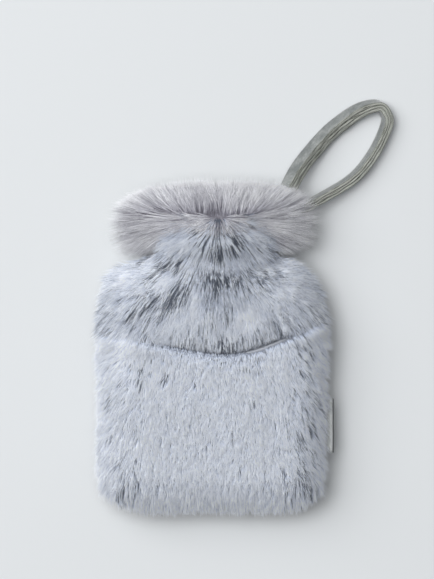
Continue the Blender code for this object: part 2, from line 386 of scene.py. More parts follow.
def pile_colour_group() -> bpy.types.NodeTree:
    """Colour of a hair from its root to its tip, later and darker on a dark hair than on a pale one."""

    def build(nodes: Nodes, given: dict[str, Socket]) -> dict[str, Socket]:
        """Ripe = along + (tone - 0.5) spread. Root to middle over the first half of it, then to the tip."""
        parts = nodes.add("SeparateXYZ", {0: given["Place"]})
        tone, along = parts.outputs[0], parts.outputs[1]
        pale = nodes.sum("SUBTRACT", tone, 0.5)
        ripe = nodes.sum("MULTIPLY_ADD", pale, given["Spread"], along)
        low = nodes.mix(nodes.ramp(ripe, 0.05, 0.5), given["Root"], given["Middle"])
        pale_end = nodes.ramp(ripe, given["Late"], nodes.sum("ADD", given["Late"], 0.55))
        colour = nodes.mix(pale_end, low, given["Tip"])
        light = nodes.sum("MULTIPLY_ADD", pale, given["Contrast"], 1.0)
        return {"Color": nodes.shaded(colour, light)}

    inputs = {"Place": ("Vector", None), "Root": ("Color", (0.1, 0.1, 0.1)),
              "Middle": ("Color", (0.4, 0.4, 0.4)), "Tip": ("Color", (0.8, 0.8, 0.8)),
              "Spread": ("Float", 0.8), "Contrast": ("Float", 0.4), "Late": ("Float", 0.4)}
    return shader_group("pile_colour", inputs, {"Color": "Color"}, build)


def cloth_grain_group() -> bpy.types.NodeTree:
    """A mottled colour with threads or fibres: two noises, a wide soft one and a fine one."""

    def build(nodes: Nodes, given: dict[str, Socket]) -> dict[str, Socket]:
        """Colour = the two colours mixed by the wide noise, times the fine one, which is the height."""
        wide = nodes.ramp(nodes.noise(given["Place"], given["Mottle Scale"], 3.0), 0.3, 0.7)
        fine = nodes.noise(given["Place"], given["Fibre Scale"], 4.0, 0.6)
        colour = nodes.mix(wide, given["First"], given["Second"])
        shade = nodes.ramp(fine, 0.25, 0.75, 0.72, 1.1)
        return {"Color": nodes.shaded(colour, shade), "Height": fine}

    inputs = {"Place": ("Vector", None), "First": ("Color", (0.3, 0.3, 0.3)),
              "Second": ("Color", (0.5, 0.5, 0.5)), "Mottle Scale": ("Float", 40.0),
              "Fibre Scale": ("Float", 800.0)}
    return shader_group("cloth_grain", inputs, {"Color": "Color", "Height": "Float"}, build)


def new_material(name: str, constants: dict[str, object]
                 ) -> tuple[bpy.types.Material, Nodes, bpy.types.Node]:
    """A new material.

    Args:
        name: The material's name.
        constants: Values set on the shader's own inputs.

    Returns:
        The material, its nodes, and its Principled shader.
    """
    material = bpy.data.materials.new(name)
    material.use_nodes = True
    shader = material.node_tree.nodes["Principled BSDF"]
    for key, value in constants.items():
        shader.inputs[key].default_value = value
    return material, Nodes(material.node_tree), shader


def group_node(nodes: Nodes, tree: bpy.types.NodeTree, inputs: dict[str, object]) -> bpy.types.Node:
    """A group placed in a material with its own values."""
    node = nodes.add("Group", node_tree=tree)
    for key, value in inputs.items():
        nodes.put(node.inputs[key], value)
    return node


@dataclass(frozen=True)
class PileFinish:
    """Hairs that are dark at the root and pale at the tip."""

    name: str
    root: Colour
    middle: Colour
    tip: Colour
    spread: float = 0.9
    contrast: float = 0.5
    late: float = 0.4            # where along a hair its pale end starts
    roughness: float = 0.62
    specular: float = 0.25
    sheen: float = 0.45
    sheen_roughness: float = 0.5
    glow: float = 0.12           # a hair lets some light through to its far side
    glow_depth: float = 0.0006   # in metres

    def material(self) -> bpy.types.Material:
        """The material, which reads tone and place along the hair from the hair's map."""
        material, nodes, shader = new_material(self.name, {
            "Roughness": self.roughness, "Specular IOR Level": self.specular,
            "Sheen Weight": self.sheen, "Sheen Roughness": self.sheen_roughness,
            "Subsurface Weight": self.glow, "Subsurface Radius": (1.0, 1.0, 1.0),
            "Subsurface Scale": self.glow_depth})
        inputs = {"Place": nodes.own_map(), "Root": self.root, "Middle": self.middle, "Tip": self.tip,
                  "Spread": self.spread, "Contrast": self.contrast, "Late": self.late}
        colour = group_node(nodes, pile_colour_group(), inputs).outputs["Color"]
        nodes.put(shader.inputs["Base Color"], colour)
        return material


@dataclass(frozen=True)
class ClothFinish:
    """The cloth under the pile: dark with short fibres outside, a pale knit inside and at the hem."""

    name: str
    dark: Colour
    light: Colour
    knit: Colour
    hem: Colour = (0.60, 0.63, 0.70)
    mottle_scale: float = 60.0
    fibre_scale: float = 900.0
    fibre_depth: float = 0.0006  # in metres
    roughness: float = 0.9

    def material(self) -> bpy.types.Material:
        """The material, on Object coordinates, which reads the values "inside" and "hem"."""
        material, nodes, shader = new_material(self.name, {"Roughness": self.roughness})
        place = nodes.add("TexCoord").outputs["Object"]
        inputs = {"Place": place, "First": self.dark, "Second": self.light,
                  "Mottle Scale": self.mottle_scale, "Fibre Scale": self.fibre_scale}
        grain = group_node(nodes, cloth_grain_group(), inputs)
        outside = nodes.mix(nodes.value("hem"), grain.outputs["Color"], self.hem)
        knit_inputs = {"Place": place, "First": tuple(0.85 * c for c in self.knit), "Second": self.knit,
                       "Mottle Scale": self.mottle_scale, "Fibre Scale": 0.6 * self.fibre_scale}
        knit = group_node(nodes, cloth_grain_group(), knit_inputs)
        colour = nodes.mix(nodes.value("inside"), outside, knit.outputs["Color"])
        nodes.put(shader.inputs["Base Color"], colour)
        nodes.bump(shader, grain.outputs["Height"], 0.5, self.fibre_depth)
        return material


@dataclass(frozen=True)
class VelvetFinish:
    """Crushed velvet with raw edges: smooth faces, and ridges with a painted highlight on their tops and
    painted shade in the grooves between them.
    """

    name: str = "loop_velvet"
    face_dark: Colour = (0.18, 0.195, 0.195)
    face_light: Colour = (0.29, 0.305, 0.30)
    # painted highlight on the ridges and painted shade in the grooves
    ridge: Colour = (0.40, 0.415, 0.38)
    groove: Colour = (0.07, 0.075, 0.06)
    thread_scale: tuple[float, ...] = (90.0, 22.0, 1.0)    # across the strap's map and along it
    crush_scale: tuple[float, ...] = (24.0, 40.0, 1.0)
    thread_depth: float = 0.0004    # in metres
    roughness: float = 0.8
    sheen: float = 0.6
    sheen_roughness: float = 0.35

    def material(self) -> bpy.types.Material:
        """The material, which reads the values "groove" and "ridged" and the strap's own map."""
        material, nodes, shader = new_material(self.name, {
            "Roughness": self.roughness, "Sheen Weight": self.sheen,
            "Sheen Roughness": self.sheen_roughness})
        place = nodes.own_map()
        lengthwise = nodes.add("Mapping", {"Vector": place, "Scale": self.thread_scale}).outputs[0]
        crosswise = nodes.add("Mapping", {"Vector": place, "Scale": self.crush_scale}).outputs[0]
        inputs = {"Place": crosswise, "First": self.face_dark, "Second": self.face_light,
                  "Mottle Scale": 0.6, "Fibre Scale": 3.0}
        grain = group_node(nodes, cloth_grain_group(), inputs)
        threads = nodes.noise(lengthwise, 1.0, 3.0, 0.6)
        frayed = nodes.sum("MULTIPLY_ADD", nodes.value("groove"), nodes.ramp(threads, 0.35, 0.65, 0.1, 1.3),
                           nodes.ramp(threads, 0.42, 0.66, 0.0, 1.0))
        # Painted highlight on the ridges and painted shade down the grooves, broken up by the threads.
        edges = nodes.mix(nodes.ramp(frayed, 0.2, 1.1), self.ridge, self.groove)
        colour = nodes.mix(nodes.value("ridged"), grain.outputs["Color"], edges)
        nodes.put(shader.inputs["Base Color"], colour)
        nodes.bump(shader, nodes.sum("ADD", grain.outputs["Height"], threads), 0.4, self.thread_depth)
        return material


@dataclass(frozen=True)
class RibbonFinish:
    """A plain woven ribbon, with painted shade along its fold."""

    name: str = "tab_ribbon"
    light: Colour = (0.60, 0.62, 0.62)
    shade: Colour = (0.50, 0.52, 0.53)
    # painted shade along the fold
    fold_shade: Colour = (0.07, 0.075, 0.08)
    rib_count: float = 60.0
    rib_depth: float = 0.0002    # in metres
    roughness: float = 0.55

    def material(self) -> bpy.types.Material:
        """The material, which reads the ribbon's own map and the value "fold"."""
        material, nodes, shader = new_material(self.name, {"Roughness": self.roughness})
        place = nodes.own_map()
        inputs = {"Place": place, "First": self.shade, "Second": self.light,
                  "Mottle Scale": 6.0, "Fibre Scale": 60.0}
        grain = group_node(nodes, cloth_grain_group(), inputs)
        along = nodes.add("SeparateXYZ", {0: place}).outputs[1]
        rib = nodes.sum("SINE", nodes.sum("MULTIPLY", along, 2.0 * math.pi * self.rib_count))
        colour = nodes.mix(nodes.value("fold"), grain.outputs["Color"], self.fold_shade)
        nodes.put(shader.inputs["Base Color"], colour)
        nodes.bump(shader, rib, 0.3, self.rib_depth)
        return material


@dataclass(frozen=True)
class FloorFinish:
    """Smooth pale paper."""

    colour: Colour = (0.665, 0.687, 0.704)
    shade: Colour = (0.655, 0.677, 0.694)
    mottle_scale: float = 3.0
    roughness: float = 0.9
    specular: float = 0.2

    def material(self) -> bpy.types.Material:
        """The material, with a faint unevenness."""
        material, nodes, shader = new_material("floor_paper", {
            "Roughness": self.roughness, "Specular IOR Level": self.specular})
        share = nodes.noise(nodes.add("TexCoord").outputs["Object"], self.mottle_scale)
        nodes.put(shader.inputs["Base Color"], nodes.mix(share, self.colour, self.shade))
        return material


# ---------------------------------------------------------------- the cover's form


Y, LEFT, RIGHT, CROWN, WALL = range(5)    # columns of the sections


@dataclass(frozen=True)
class CoverForm:
    """The cover's outline and heights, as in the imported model.

    The sections run across the body: left and right are the reach of the fur, crown is the height of the
    front, and wall is the cloth and pile between the outside and the space for the bottle.
    """

    sections: tuple[tuple[float, ...], ...] = (
        # y      left   right  crown  wall
        (-121.2, -47.0, 50.0, 43.0, 13.0),
        (-119.6, -61.0, 61.0, 43.0, 13.0),
        (-114.0, -76.0, 73.0, 43.5, 13.0),
        (-103.5, -84.2, 80.8, 44.5, 13.0),
        (-88.0, -86.8, 82.8, 45.5, 13.0),
        (-40.0, -86.6, 83.2, 46.0, 13.0),
        (5.0, -86.4, 85.2, 46.0, 13.0),
        (26.0, -85.2, 82.6, 45.0, 12.5),
        (42.0, -83.2, 79.2, 44.0, 12.0),
        (54.0, -79.0, 72.5, 42.0, 10.0),
        (62.0, -69.0, 64.0, 40.0, 8.0),
        (66.5, -52.0, 51.0, 38.0, 6.0),
        (70.0, -37.0, 38.0, 36.5, 5.0),
        (108.0, -35.0, 36.0, 36.0, 4.5),
    )
    seam_height: float = 19.0
    gap: float = 0.3
    hollow_edge: float = 20.0    # how far in from its edge the space for the bottle goes on rising
    under_wall: float = 6.0      # pressed pile and cloth under the bottle
    neck_lift: float = 4.0       # height of the neck's underside
    neck_start: float = 58.0
    neck_full: float = 70.0
    cloth: float = 1.8           # thickness of the cloth without its pile
    rim: float = 0.6             # what the cloth narrows to in the side seam
    lap_x: float = 5.0           # lowest point of the lap's edge
    lap_y: float = -4.9
    lap_span: float = 50.0
    lap_rise_left: float = 8.5
    lap_rise_right: float = 15.4
    lap_power_left: float = 1.4
    lap_power_right: float = 1.9
    open_from: float = 38.0      # how far from the lap's lowest point the fur starts to cover its edge
    open_over: float = 16.0
    foot_length: float = 30.0    # straight run of the foot, inwards from its corners

    def column(self, index: int, y: Array) -> Array:
        """One column of the sections at y, on straight lines between the rows."""
        table = np.array(self.sections)
        return np.interp(y, table[:, Y], table[:, index])

    def distance(self, x: Array, y: Array) -> Array:
        """Distance of each place from the outline, which is open at the end of the neck."""
        table = np.array(self.sections)
        line = np.vstack([table[::-1][:, [LEFT, Y]], table[:, [RIGHT, Y]]])
        along = line[1:] - line[:-1]
        nearest = np.full(np.shape(x), np.inf)
        for start, step in zip(line[:-1], along):
            share = ((x - start[0]) * step[0] + (y - start[1]) * step[1]) / (step ** 2).sum()
            share = np.clip(share, 0.0, 1.0)
            off = np.hypot(x - start[0] - share * step[0], y - start[1] - share * step[1])
            nearest = np.minimum(nearest, off)
        return nearest

    def lift(self, y: Array) -> Array:
        """Height of the lowest part of the back: on the floor, and lifted under the neck."""
        return self.neck_lift * smooth((y - self.neck_start) / (self.neck_full - self.neck_start))

    def rise(self, x: Array, y: Array, inset: Array) -> Array:
        """0 at this distance in from the outline, rising on a parabola to 1 further in."""
        share = np.clip((self.distance(x, y) - inset) / self.hollow_edge, 0.0, 1.0)
        return 1.0 - (1.0 - share) ** 2

    def inner_top(self, x: Array, y: Array) -> Array:
        """Inside of the front."""
        start = self.seam_height + self.gap / 2
        top = self.column(CROWN, y) - self.column(WALL, y)
        return start + (top - start) * self.rise(x, y, self.column(WALL, y))

    def inner_floor(self, x: Array, y: Array) -> Array:
        """Inside of the back."""
        start = self.seam_height - self.gap / 2
        return start + (self.lift(y) + self.under_wall - start) * self.rise(x, y, self.column(WALL, y))

    def cloth_top(self, x: Array, y: Array) -> Array:
        """Outside of the front's cloth, from which its pile grows."""
        start = self.seam_height + self.gap / 2 + self.rim
        top = self.column(CROWN, y) - self.column(WALL, y) + self.cloth
        return start + (top - start) * self.rise(x, y, self.column(WALL, y) - self.cloth)

    def cloth_floor(self, x: Array, y: Array) -> Array:
        """Outside of the back's cloth."""
        start = self.seam_height - self.gap / 2 - self.rim
        floor = self.lift(y) + self.under_wall - self.cloth
        return start + (floor - start) * self.rise(x, y, self.column(WALL, y) - self.cloth)

    def cloth_edges(self, y: Array) -> tuple[Array, Array]:
        """Left and right edge of the cloth at y: the outline, moved inwards by the pile's depth."""
        table = np.array(self.sections)
        sides = []
        for index, inward in ((LEFT, 1.0), (RIGHT, -1.0)):
            foot = [[table[0, index] + self.foot_length * inward, table[0, Y]]]
            line = np.vstack([foot, table[:, [index, Y]]])
            tangent = unit(np.gradient(line, axis=0))
            depth = np.concatenate([table[:1, WALL], table[:, WALL]]) - self.cloth
            square = np.column_stack([tangent[:, 1], -tangent[:, 0]])
            moved = (line + depth[:, None] * inward * square)[1:]
            sides.append(np.interp(y, moved[:, 1], moved[:, 0]))
        return sides[0], sides[1]

    def foot_y(self) -> float:
        """Lowest y of the cloth."""
        return self.sections[0][Y] + self.sections[0][WALL] - self.cloth

    def neck_y(self) -> float:
        """End of the neck."""
        return self.sections[-1][Y]

    def lap_line(self, x: Array) -> Array:
        """y of the lap's edge: a power curve on each side of its lowest point."""
        away = np.abs(x - self.lap_x) / self.lap_span
        left = self.lap_rise_left * away ** self.lap_power_left
        right = self.lap_rise_right * away ** self.lap_power_right
        return self.lap_y + np.where(x < self.lap_x, left, right)

    def above_lap(self, x: Array, y: Array) -> Array:
        """Distance of each place above the lap's edge, along Y."""
        return y - self.lap_line(x)

    def open_side(self, x: Array) -> Array:
        """0 in the middle and 1 at the sides, where the lap is lost under the fur."""
        return smooth((np.abs(x - self.lap_x) - self.open_from) / self.open_over)


@dataclass(frozen=True)
class Parting:
    """The star at the neck, where the fur parts, and the way the nap runs from there."""

    x: float = 3.4
    y: float = 93.2
    # How much the nap goes on fanning out, from the foot to the shoulders.
    fan_y: tuple[float, ...] = (-121.0, -100.0, -60.0, -20.0, 20.0, 46.0)
    fan: tuple[float, ...] = (0.0, 0.12, 0.42, 0.58, 0.66, 1.0)

    def nap(self, x: Array, y: Array) -> Array:
        """Unit direction of the nap in plan, below the parting: away from the star, then down the body.

        The slope is fan(y) (x - star x) / (star y - y), so the nap is radial where fan is 1.
        """
        below = np.maximum(self.y - y, 4.0)
        slope = np.interp(y, self.fan_y, self.fan) * (x - self.x) / below
        return unit(np.stack([slope, -np.ones_like(slope)], -1))


# ---------------------------------------------------------------- hairs


@dataclass
class Hairs:
    """Hairs as arrays, one row each: quadratic curves from a root, by way of a bend, to a tip."""

    root: Array
    bend: Array
    tip: Array
    up: Array
    width: Array
    tone: Array
    face: Array | None = None    # normal of the pile around the hair, the same as up if None

    STRIP = 0.003        # width of a hair's strip on the map
    EVEN = 0.6           # share of the pile's normal in a hair's shading
    FULL = 0.45          # share of the length at which a hair is widest
    THICK = 0.5          # height of a hair's section over its width
    CLEAR = 0.25         # the least height of a hair over the floor

    def at(self, share: float) -> Array:
        """Points on the curves: (1 - s)^2 root + 2 s (1 - s) bend + s^2 tip."""
        return (1 - share) ** 2 * self.root + 2 * share * (1 - share) * self.bend + share ** 2 * self.tip

    def surface(self, shares: tuple[float, ...]) -> Surface:
        """Closed spikes with a section of three corners, a cap at the root and a point at the tip.

        Args:
            shares: Where along a hair its rings are, from 0.

        Returns:
            The joined mesh. Its map has the hair's tone across and its place along.
        """
        count, rings = len(self.root), len(shares)
        stations = np.stack([self.at(share) for share in shares] + [self.tip], 1)
        stations[..., 2] = np.maximum(stations[..., 2], self.CLEAR)
        ahead = unit(np.diff(stations, axis=1))
        side = unit(np.cross(ahead, self.up[:, None, :]))
        over = np.cross(side, ahead)
        taper = np.interp(shares, [0.0, self.FULL, 1.0], [0.7, 1.0, 0.0])
        half = 0.5 * self.width[:, None, None] * taper[None, :, None]
        middle = stations[:, :-1]
        corners = [middle - side * half, middle + side * half, middle + over * half * 2 * self.THICK]
        points = np.concatenate([np.stack(corners, 2).reshape(count, 3 * rings, 3), stations[:, -1:]], 1)
        face = (self.up if self.face is None else self.face)[:, None, :]
        own = np.stack([-side, side, over], 2).reshape(count, 3 * rings, 3)
        own = np.concatenate([own, ahead[:, -1:]], 1)
        normals = unit(self.EVEN * face + (1.0 - self.EVEN) * own)
        tone = 0.01 + 0.98 * np.clip(self.tone, 0.0, 1.0)
        across = self.STRIP * np.array([-0.5, 0.5, 0.0] * rings + [0.0])
        along = np.repeat([*shares, 0.985], [3] * rings + [1])
        along[:3] = 0.015
        place = np.stack([tone[:, None] + across, np.broadcast_to(along, (count, len(along)))], -1)
        first = np.arange(count)[:, None, None] * (3 * rings + 1)
        ring = 3 * np.arange(rings - 1)[:, None]
        k, after = np.arange(3), np.array([1, 2, 0])
        one = np.stack([ring + after, ring + k, ring + 3 + k, ring + 3 + after], -1).reshape(-1, 4)
        last = 3 * (rings - 1)
        ends = np.vstack([[[0, 1, 2]], np.stack([last + after, last + k, np.full(3, last + 3)], -1)])
        return Surface(points.reshape(-1, 3), (first + one).reshape(-1, 4), (first + ends).reshape(-1, 3),
                       place=place.reshape(-1, 2), normals=normals.reshape(-1, 3))

    def keep(self, chosen: Array) -> "Hairs":
        """Only the chosen hairs."""
        return Hairs(self.root[chosen], self.bend[chosen], self.tip[chosen], self.up[chosen],
                     self.width[chosen], self.tone[chosen], None if self.face is None else self.face[chosen])


@dataclass(frozen=True)
class Patch:
    """A soft oval patch of darker or paler fur: its middle, half sizes along and across, turn and strength.

    The turn is in degrees from -Y towards +X. A strength above 0 darkens.
    """

    x: float
    y: float
    along: float
    across: float
    turn: float
    strength: float

    def share(self, x: Array, y: Array) -> Array:
        """Strength times exp(-(a^2 + b^2)), with a and b the places in half sizes along and across."""
        turn = math.radians(self.turn)
        off_x, off_y = x - self.x, y - self.y
        a = (off_x * math.sin(turn) - off_y * math.cos(turn)) / self.along
        b = (off_x * math.cos(turn) + off_y * math.sin(turn)) / self.across
        return self.strength * np.exp(-(a * a + b * b))


PATCHES = tuple(Patch(*row) for row in (
    # x, y, along, across, turn, strength
    # around the star and down the middle
    (3.4, 88, 11, 6, 0, 0.42),
    (-9.5, 81.5, 6, 3.4, -55, 0.5),
    (4.4, 83, 5, 2.4, 0, 0.35),
    (16.6, 76, 6, 3.4, 38, 0.4),
    (1.4, 63.5, 4.5, 8, 0, 0.42),
    (8, 70, 13, 13, 0, 0.2),
    (6, 47.5, 4.5, 12, 0, 0.45),
    (-40.3, 56.2, 4, 3, -45, 0.5),
    (2.7, 46, 11, 9, 0, 0.4),
    (18.2, 45, 5, 4, 20, 0.3),
    (-3.3, 22, 9, 2.5, -5, 0.35),
    (9.8, 22, 9, 2.5, 5, 0.35),
    # painted shade over the lap, where the upper front's fur goes under the lower front's edge
    (12, 0.5, 5, 13, 0, 0.45),
    (33, 5.5, 5, 12, 20, 0.45),
    (-20, 1, 4, 20, -8, 0.2),
    # left shoulder
    (-26, 55.6, 5, 2.2, -20, 0.8),
    (-35.6, 57.5, 6, 5, -40, 0.35),
    (-54, 60, 5, 3, -30, 0.5),
    (-45.1, 48.5, 4.5, 2, -45, 0.45),
    (-32, 30.6, 15, 4.5, -42, 0.62),
    (-57, 22, 14, 3.5, -48, 0.4),
    (-75, 9, 7, 2.5, -30, 0.35),
    # right shoulder and side
    (36, 48.5, 8, 2.8, -12, 0.5),
    (48, 51, 8, 5, 70, 0.3),
    (66, 44, 14, 4, 50, 0.15),
    (76, 21, 12, 4, 35, 0.3),
    (49.2, 10, 7, 3, 40, 0.4),
    (66, -6, 9, 4, 20, 0.5),
    (64.7, -26, 10, 5, 10, 0.3),
    (76, -42, 10, 4, 8, 0.3),
    (66, -78, 34, 14, 0, 0.22),
    (66, -106, 10, 12, 0, 0.2),
    # lower left and middle
    (-52.3, -19, 11, 2.6, -5, 0.4),
    (-49.9, -41.7, 6, 1.6, -5, 0.5),
    (-66.6, -26, 8, 2.5, -15, 0.3),
    (-77.3, -40.5, 6, 2.5, -10, 0.35),
    (-66, -60.8, 3.5, 1.6, -35, 0.7),
    (-74.7, -66.8, 4, 1.5, -20, 0.5),
    (-54, -56.6, 4, 1.8, -30, 0.5),
    (-36.8, -23.8, 4.5, 1.8, -60, 0.45),
    (-3.9, -30.9, 4, 2, -20, 0.4),
    (26.5, -17.5, 7, 2.2, 80, 0.35),
    (28.3, -41.7, 3.5, 1.8, -35, 0.55),
    (14.6, -64.3, 7, 3, -15, 0.35),
    (17.6, -90.6, 5, 1.2, 15, 0.45),
    (-63.6, -105, 13, 7, 0, 0.45),
    (-69, -86, 4, 2, -30, 0.4),
    (-55.9, -83.5, 5, 1.6, -5, 0.4),
    # pale places
    (4.3, 74.5, 3.5, 8, 0, -0.15),
    (7.9, 56, 3.5, 9, 0, -0.15),
    (-38, 70, 8, 8, -60, -0.15),
    (-33, 46.5, 14, 4.5, -60, -0.35),
    (-14, 31, 13, 4, -5, -0.4),
    (27, 20, 9, 10, 0, -0.35),
    (-64, 42, 14, 10, -50, -0.3),
    (60, 43, 14, 10, 50, -0.42),
    (-66, -6, 20, 7, -5, -0.45),
    (-69, 52, 14, 12, -50, -0.3),
    (-12, 38, 12, 4, -8, -0.3),
    (-27, 18, 9, 7, -30, -0.25),
    (22, 18.5, 9, 7, 10, -0.25),
    (49, 35, 10, 8, 40, -0.3),
    (26.5, -30, 10, 5, 0, -0.2),
    (-63, -75, 10, 10, 0, -0.2),
))

RUFF_PATCHES = tuple(Patch(*row) for row in (
    (-34, 93, 5, 12, 0, 0.2),
    (-44, 104, 6, 7, 0, 0.5),
    (-45, 93.5, 4, 12, 0, 0.4),
    (-24, 99, 6, 8, 0, 0.25),
    (-14, 90, 12, 4, 0, 0.3),
    (20, 90, 12, 4, 0, 0.25),
    (3.4, 94, 8, 9, 0, 0.45),
    (40, 94, 8, 16, 0, 0.22),
    (62, 96, 14, 10, 0, 0.15),
))


def slopes(height: Callable[[Array, Array], Array], x: Array, y: Array, step: float) -> tuple[Array, Array]:
    """Slopes of a height over the plane along X and along Y, by differences over two steps."""
    slope_x = (height(x + step, y) - height(x - step, y)) / (2 * step)
    slope_y = (height(x, y + step) - height(x, y - step)) / (2 * step)
    return slope_x, slope_y


def normals_of(height: Callable[[Array, Array], Array], x: Array, y: Array) -> Array:
    """Upward unit normals of a height over the plane."""
    slope_x, slope_y = slopes(height, x, y, 0.25)
    return unit(np.stack([-slope_x, -slope_y, np.ones_like(x)], -1))


@dataclass(frozen=True)
class Pile:
    """How the fur of a panel grows."""

    lean: float = 1.15           # reach along the nap over the pile's height
    tuft: float = 3.6            # size of a tuft
    clump: float = 9.0           # size of a clump of tufts, which lie the same way
    stray: float = 0.3           # how far tufts and clumps turn from the nap, in radians
    gather: float = 0.5          # share by which a tuft's tips come together
    width: float = 0.55
    uneven: float = 0.8          # how much the tones differ from tuft to tuft and from hair to hair
    dark: float = 0.08           # share of the streaks that are dark, away from the patches
    depth: float = 0.45          # how much darker they are
    streak: float = 0.8          # width of a streak
    sides: float = 0.6           # how much longer the hairs are where the cloth is steep
    lumps: float = 1.0           # height of the pile's lumps
    seed: int = 1

    def grow(self, root: Array, normal: Array, nap: Array, height: Array, tone: float | Array,
             reach: Array | None = None) -> Hairs:
        """Hairs that leave the cloth along its normal and bend over along the nap.

        Tip = root + height normal + reach nap, turned by noise and drawn towards the middle of its tuft.

        Args:
            root, normal: Where the hairs leave the cloth, and the cloth's normal there.
            nap: Unit direction of the nap, not yet along the cloth.
            height: Height of the pile at each root.
            tone: Mean tone of the hairs, from 0, dark, to 1, pale.
            reach: How far each hair lies along the nap, or None for height times lean.

        Returns:
            The hairs.
        """
        rng = np.random.default_rng(self.seed)
        noise = Noise(self.seed + 100)
        count = len(root)
        x, y = root[:, 0], root[:, 1]
        along = unit(nap - (nap * normal).sum(1, keepdims=True) * normal)
        centre_x, centre_y, own = noise.tufts(x, y, self.tuft)
        drift = noise.tufts(x + 400.0, y, self.clump)[2]
        turn = 0.14 * noise.soft(x, y, 26.0) + self.stray * (1.3 * (drift - 0.5) + own - 0.5)
        turn = turn + rng.normal(0.0, 0.4 * self.stray, count)
        across = np.cross(normal, along)
        along = along * np.cos(turn)[:, None] + across * np.sin(turn)[:, None]
        uneven = 1.0 + 0.06 * self.relief(noise, x, y) + 0.14 * (own - 0.5) + rng.uniform(-0.2, 0.06, count)
        steep = 1.0 - np.abs(normal[:, 2])
        height = height * np.clip(uneven, 0.55, 1.08) * (1.0 + self.sides * steep)
        reach = (height * self.lean if reach is None else reach) * rng.uniform(0.75, 1.15, count)
        outward = np.clip((nap * normal).sum(1), 0.0, 1.0)
        reach = reach * (1.0 + 1.2 * steep) * (1.0 - 0.8 * outward)
        drawn = np.stack([centre_x - x, centre_y - y, np.zeros(count)], -1)
        drawn -= (drawn * normal).sum(1, keepdims=True) * normal
        gather = self.gather * rng.uniform(0.6, 1.2, count)[:, None]
        tip = root + normal * height[:, None] + along * reach[:, None] + drawn * gather
        tip[:, 2] -= 0.15 * reach * steep
        bend = root + normal * (0.72 * height)[:, None] + along * (0.28 * reach)[:, None]
        bend = bend + 0.2 * drawn * gather
        seen = root + 0.75 * (tip - root)
        shade = sum(patch.share(seen[:, 0], seen[:, 1]) for patch in PATCHES)
        shade = shade + self.dark * (1.0 + 3.4 * noise.soft(seen[:, 0] + 50.0, seen[:, 1], 15.0))
        streak = noise.streaks(seen[:, 0], seen[:, 1], unit(nap[:, :2]), 9.0, self.streak)
        dark = smooth((np.clip(shade, 0.0, 0.9) - streak) / 0.12 + 0.4)
        # Painted light: paler where the cloth is steep, to lift the shade on the cover's sides.
        tones = tone + 0.3 * np.maximum(-shade, 0.0) - self.depth * dark + 0.06 * steep
        mixed = 0.2 * (own - 0.5) + 0.2 * (drift - 0.5) + 0.35 * (streak - 0.5) + rng.normal(0.0, 0.1, count)
        tones = tones + self.uneven * (0.7 + 1.5 * steep + np.clip(shade, -0.4, 0.7)) * mixed
        slope_x, slope_y = slopes(lambda x, y: self.relief(noise, x, y), seen[:, 0], seen[:, 1], 0.5)
        tilt = np.stack([-slope_x, -slope_y, np.zeros(count)], -1)
        face = unit(normal + np.array([0.0, 0.0, 0.85]) + tilt)
        width = self.width * rng.uniform(0.65, 1.35, count)
        return Hairs(root, bend, tip, normal, width, tones, face)

    def relief(self, noise: Noise, x: Array, y: Array) -> Array:
        """Height of the pile's lumps in millimetres, by two noises, one twice as fine and half as high."""
        wide = noise.soft(x + 20.0, y, 12.0)
        return self.lumps * (wide + 0.5 * noise.soft(x, y + 70.0, 6.0))


# ---------------------------------------------------------------- the body


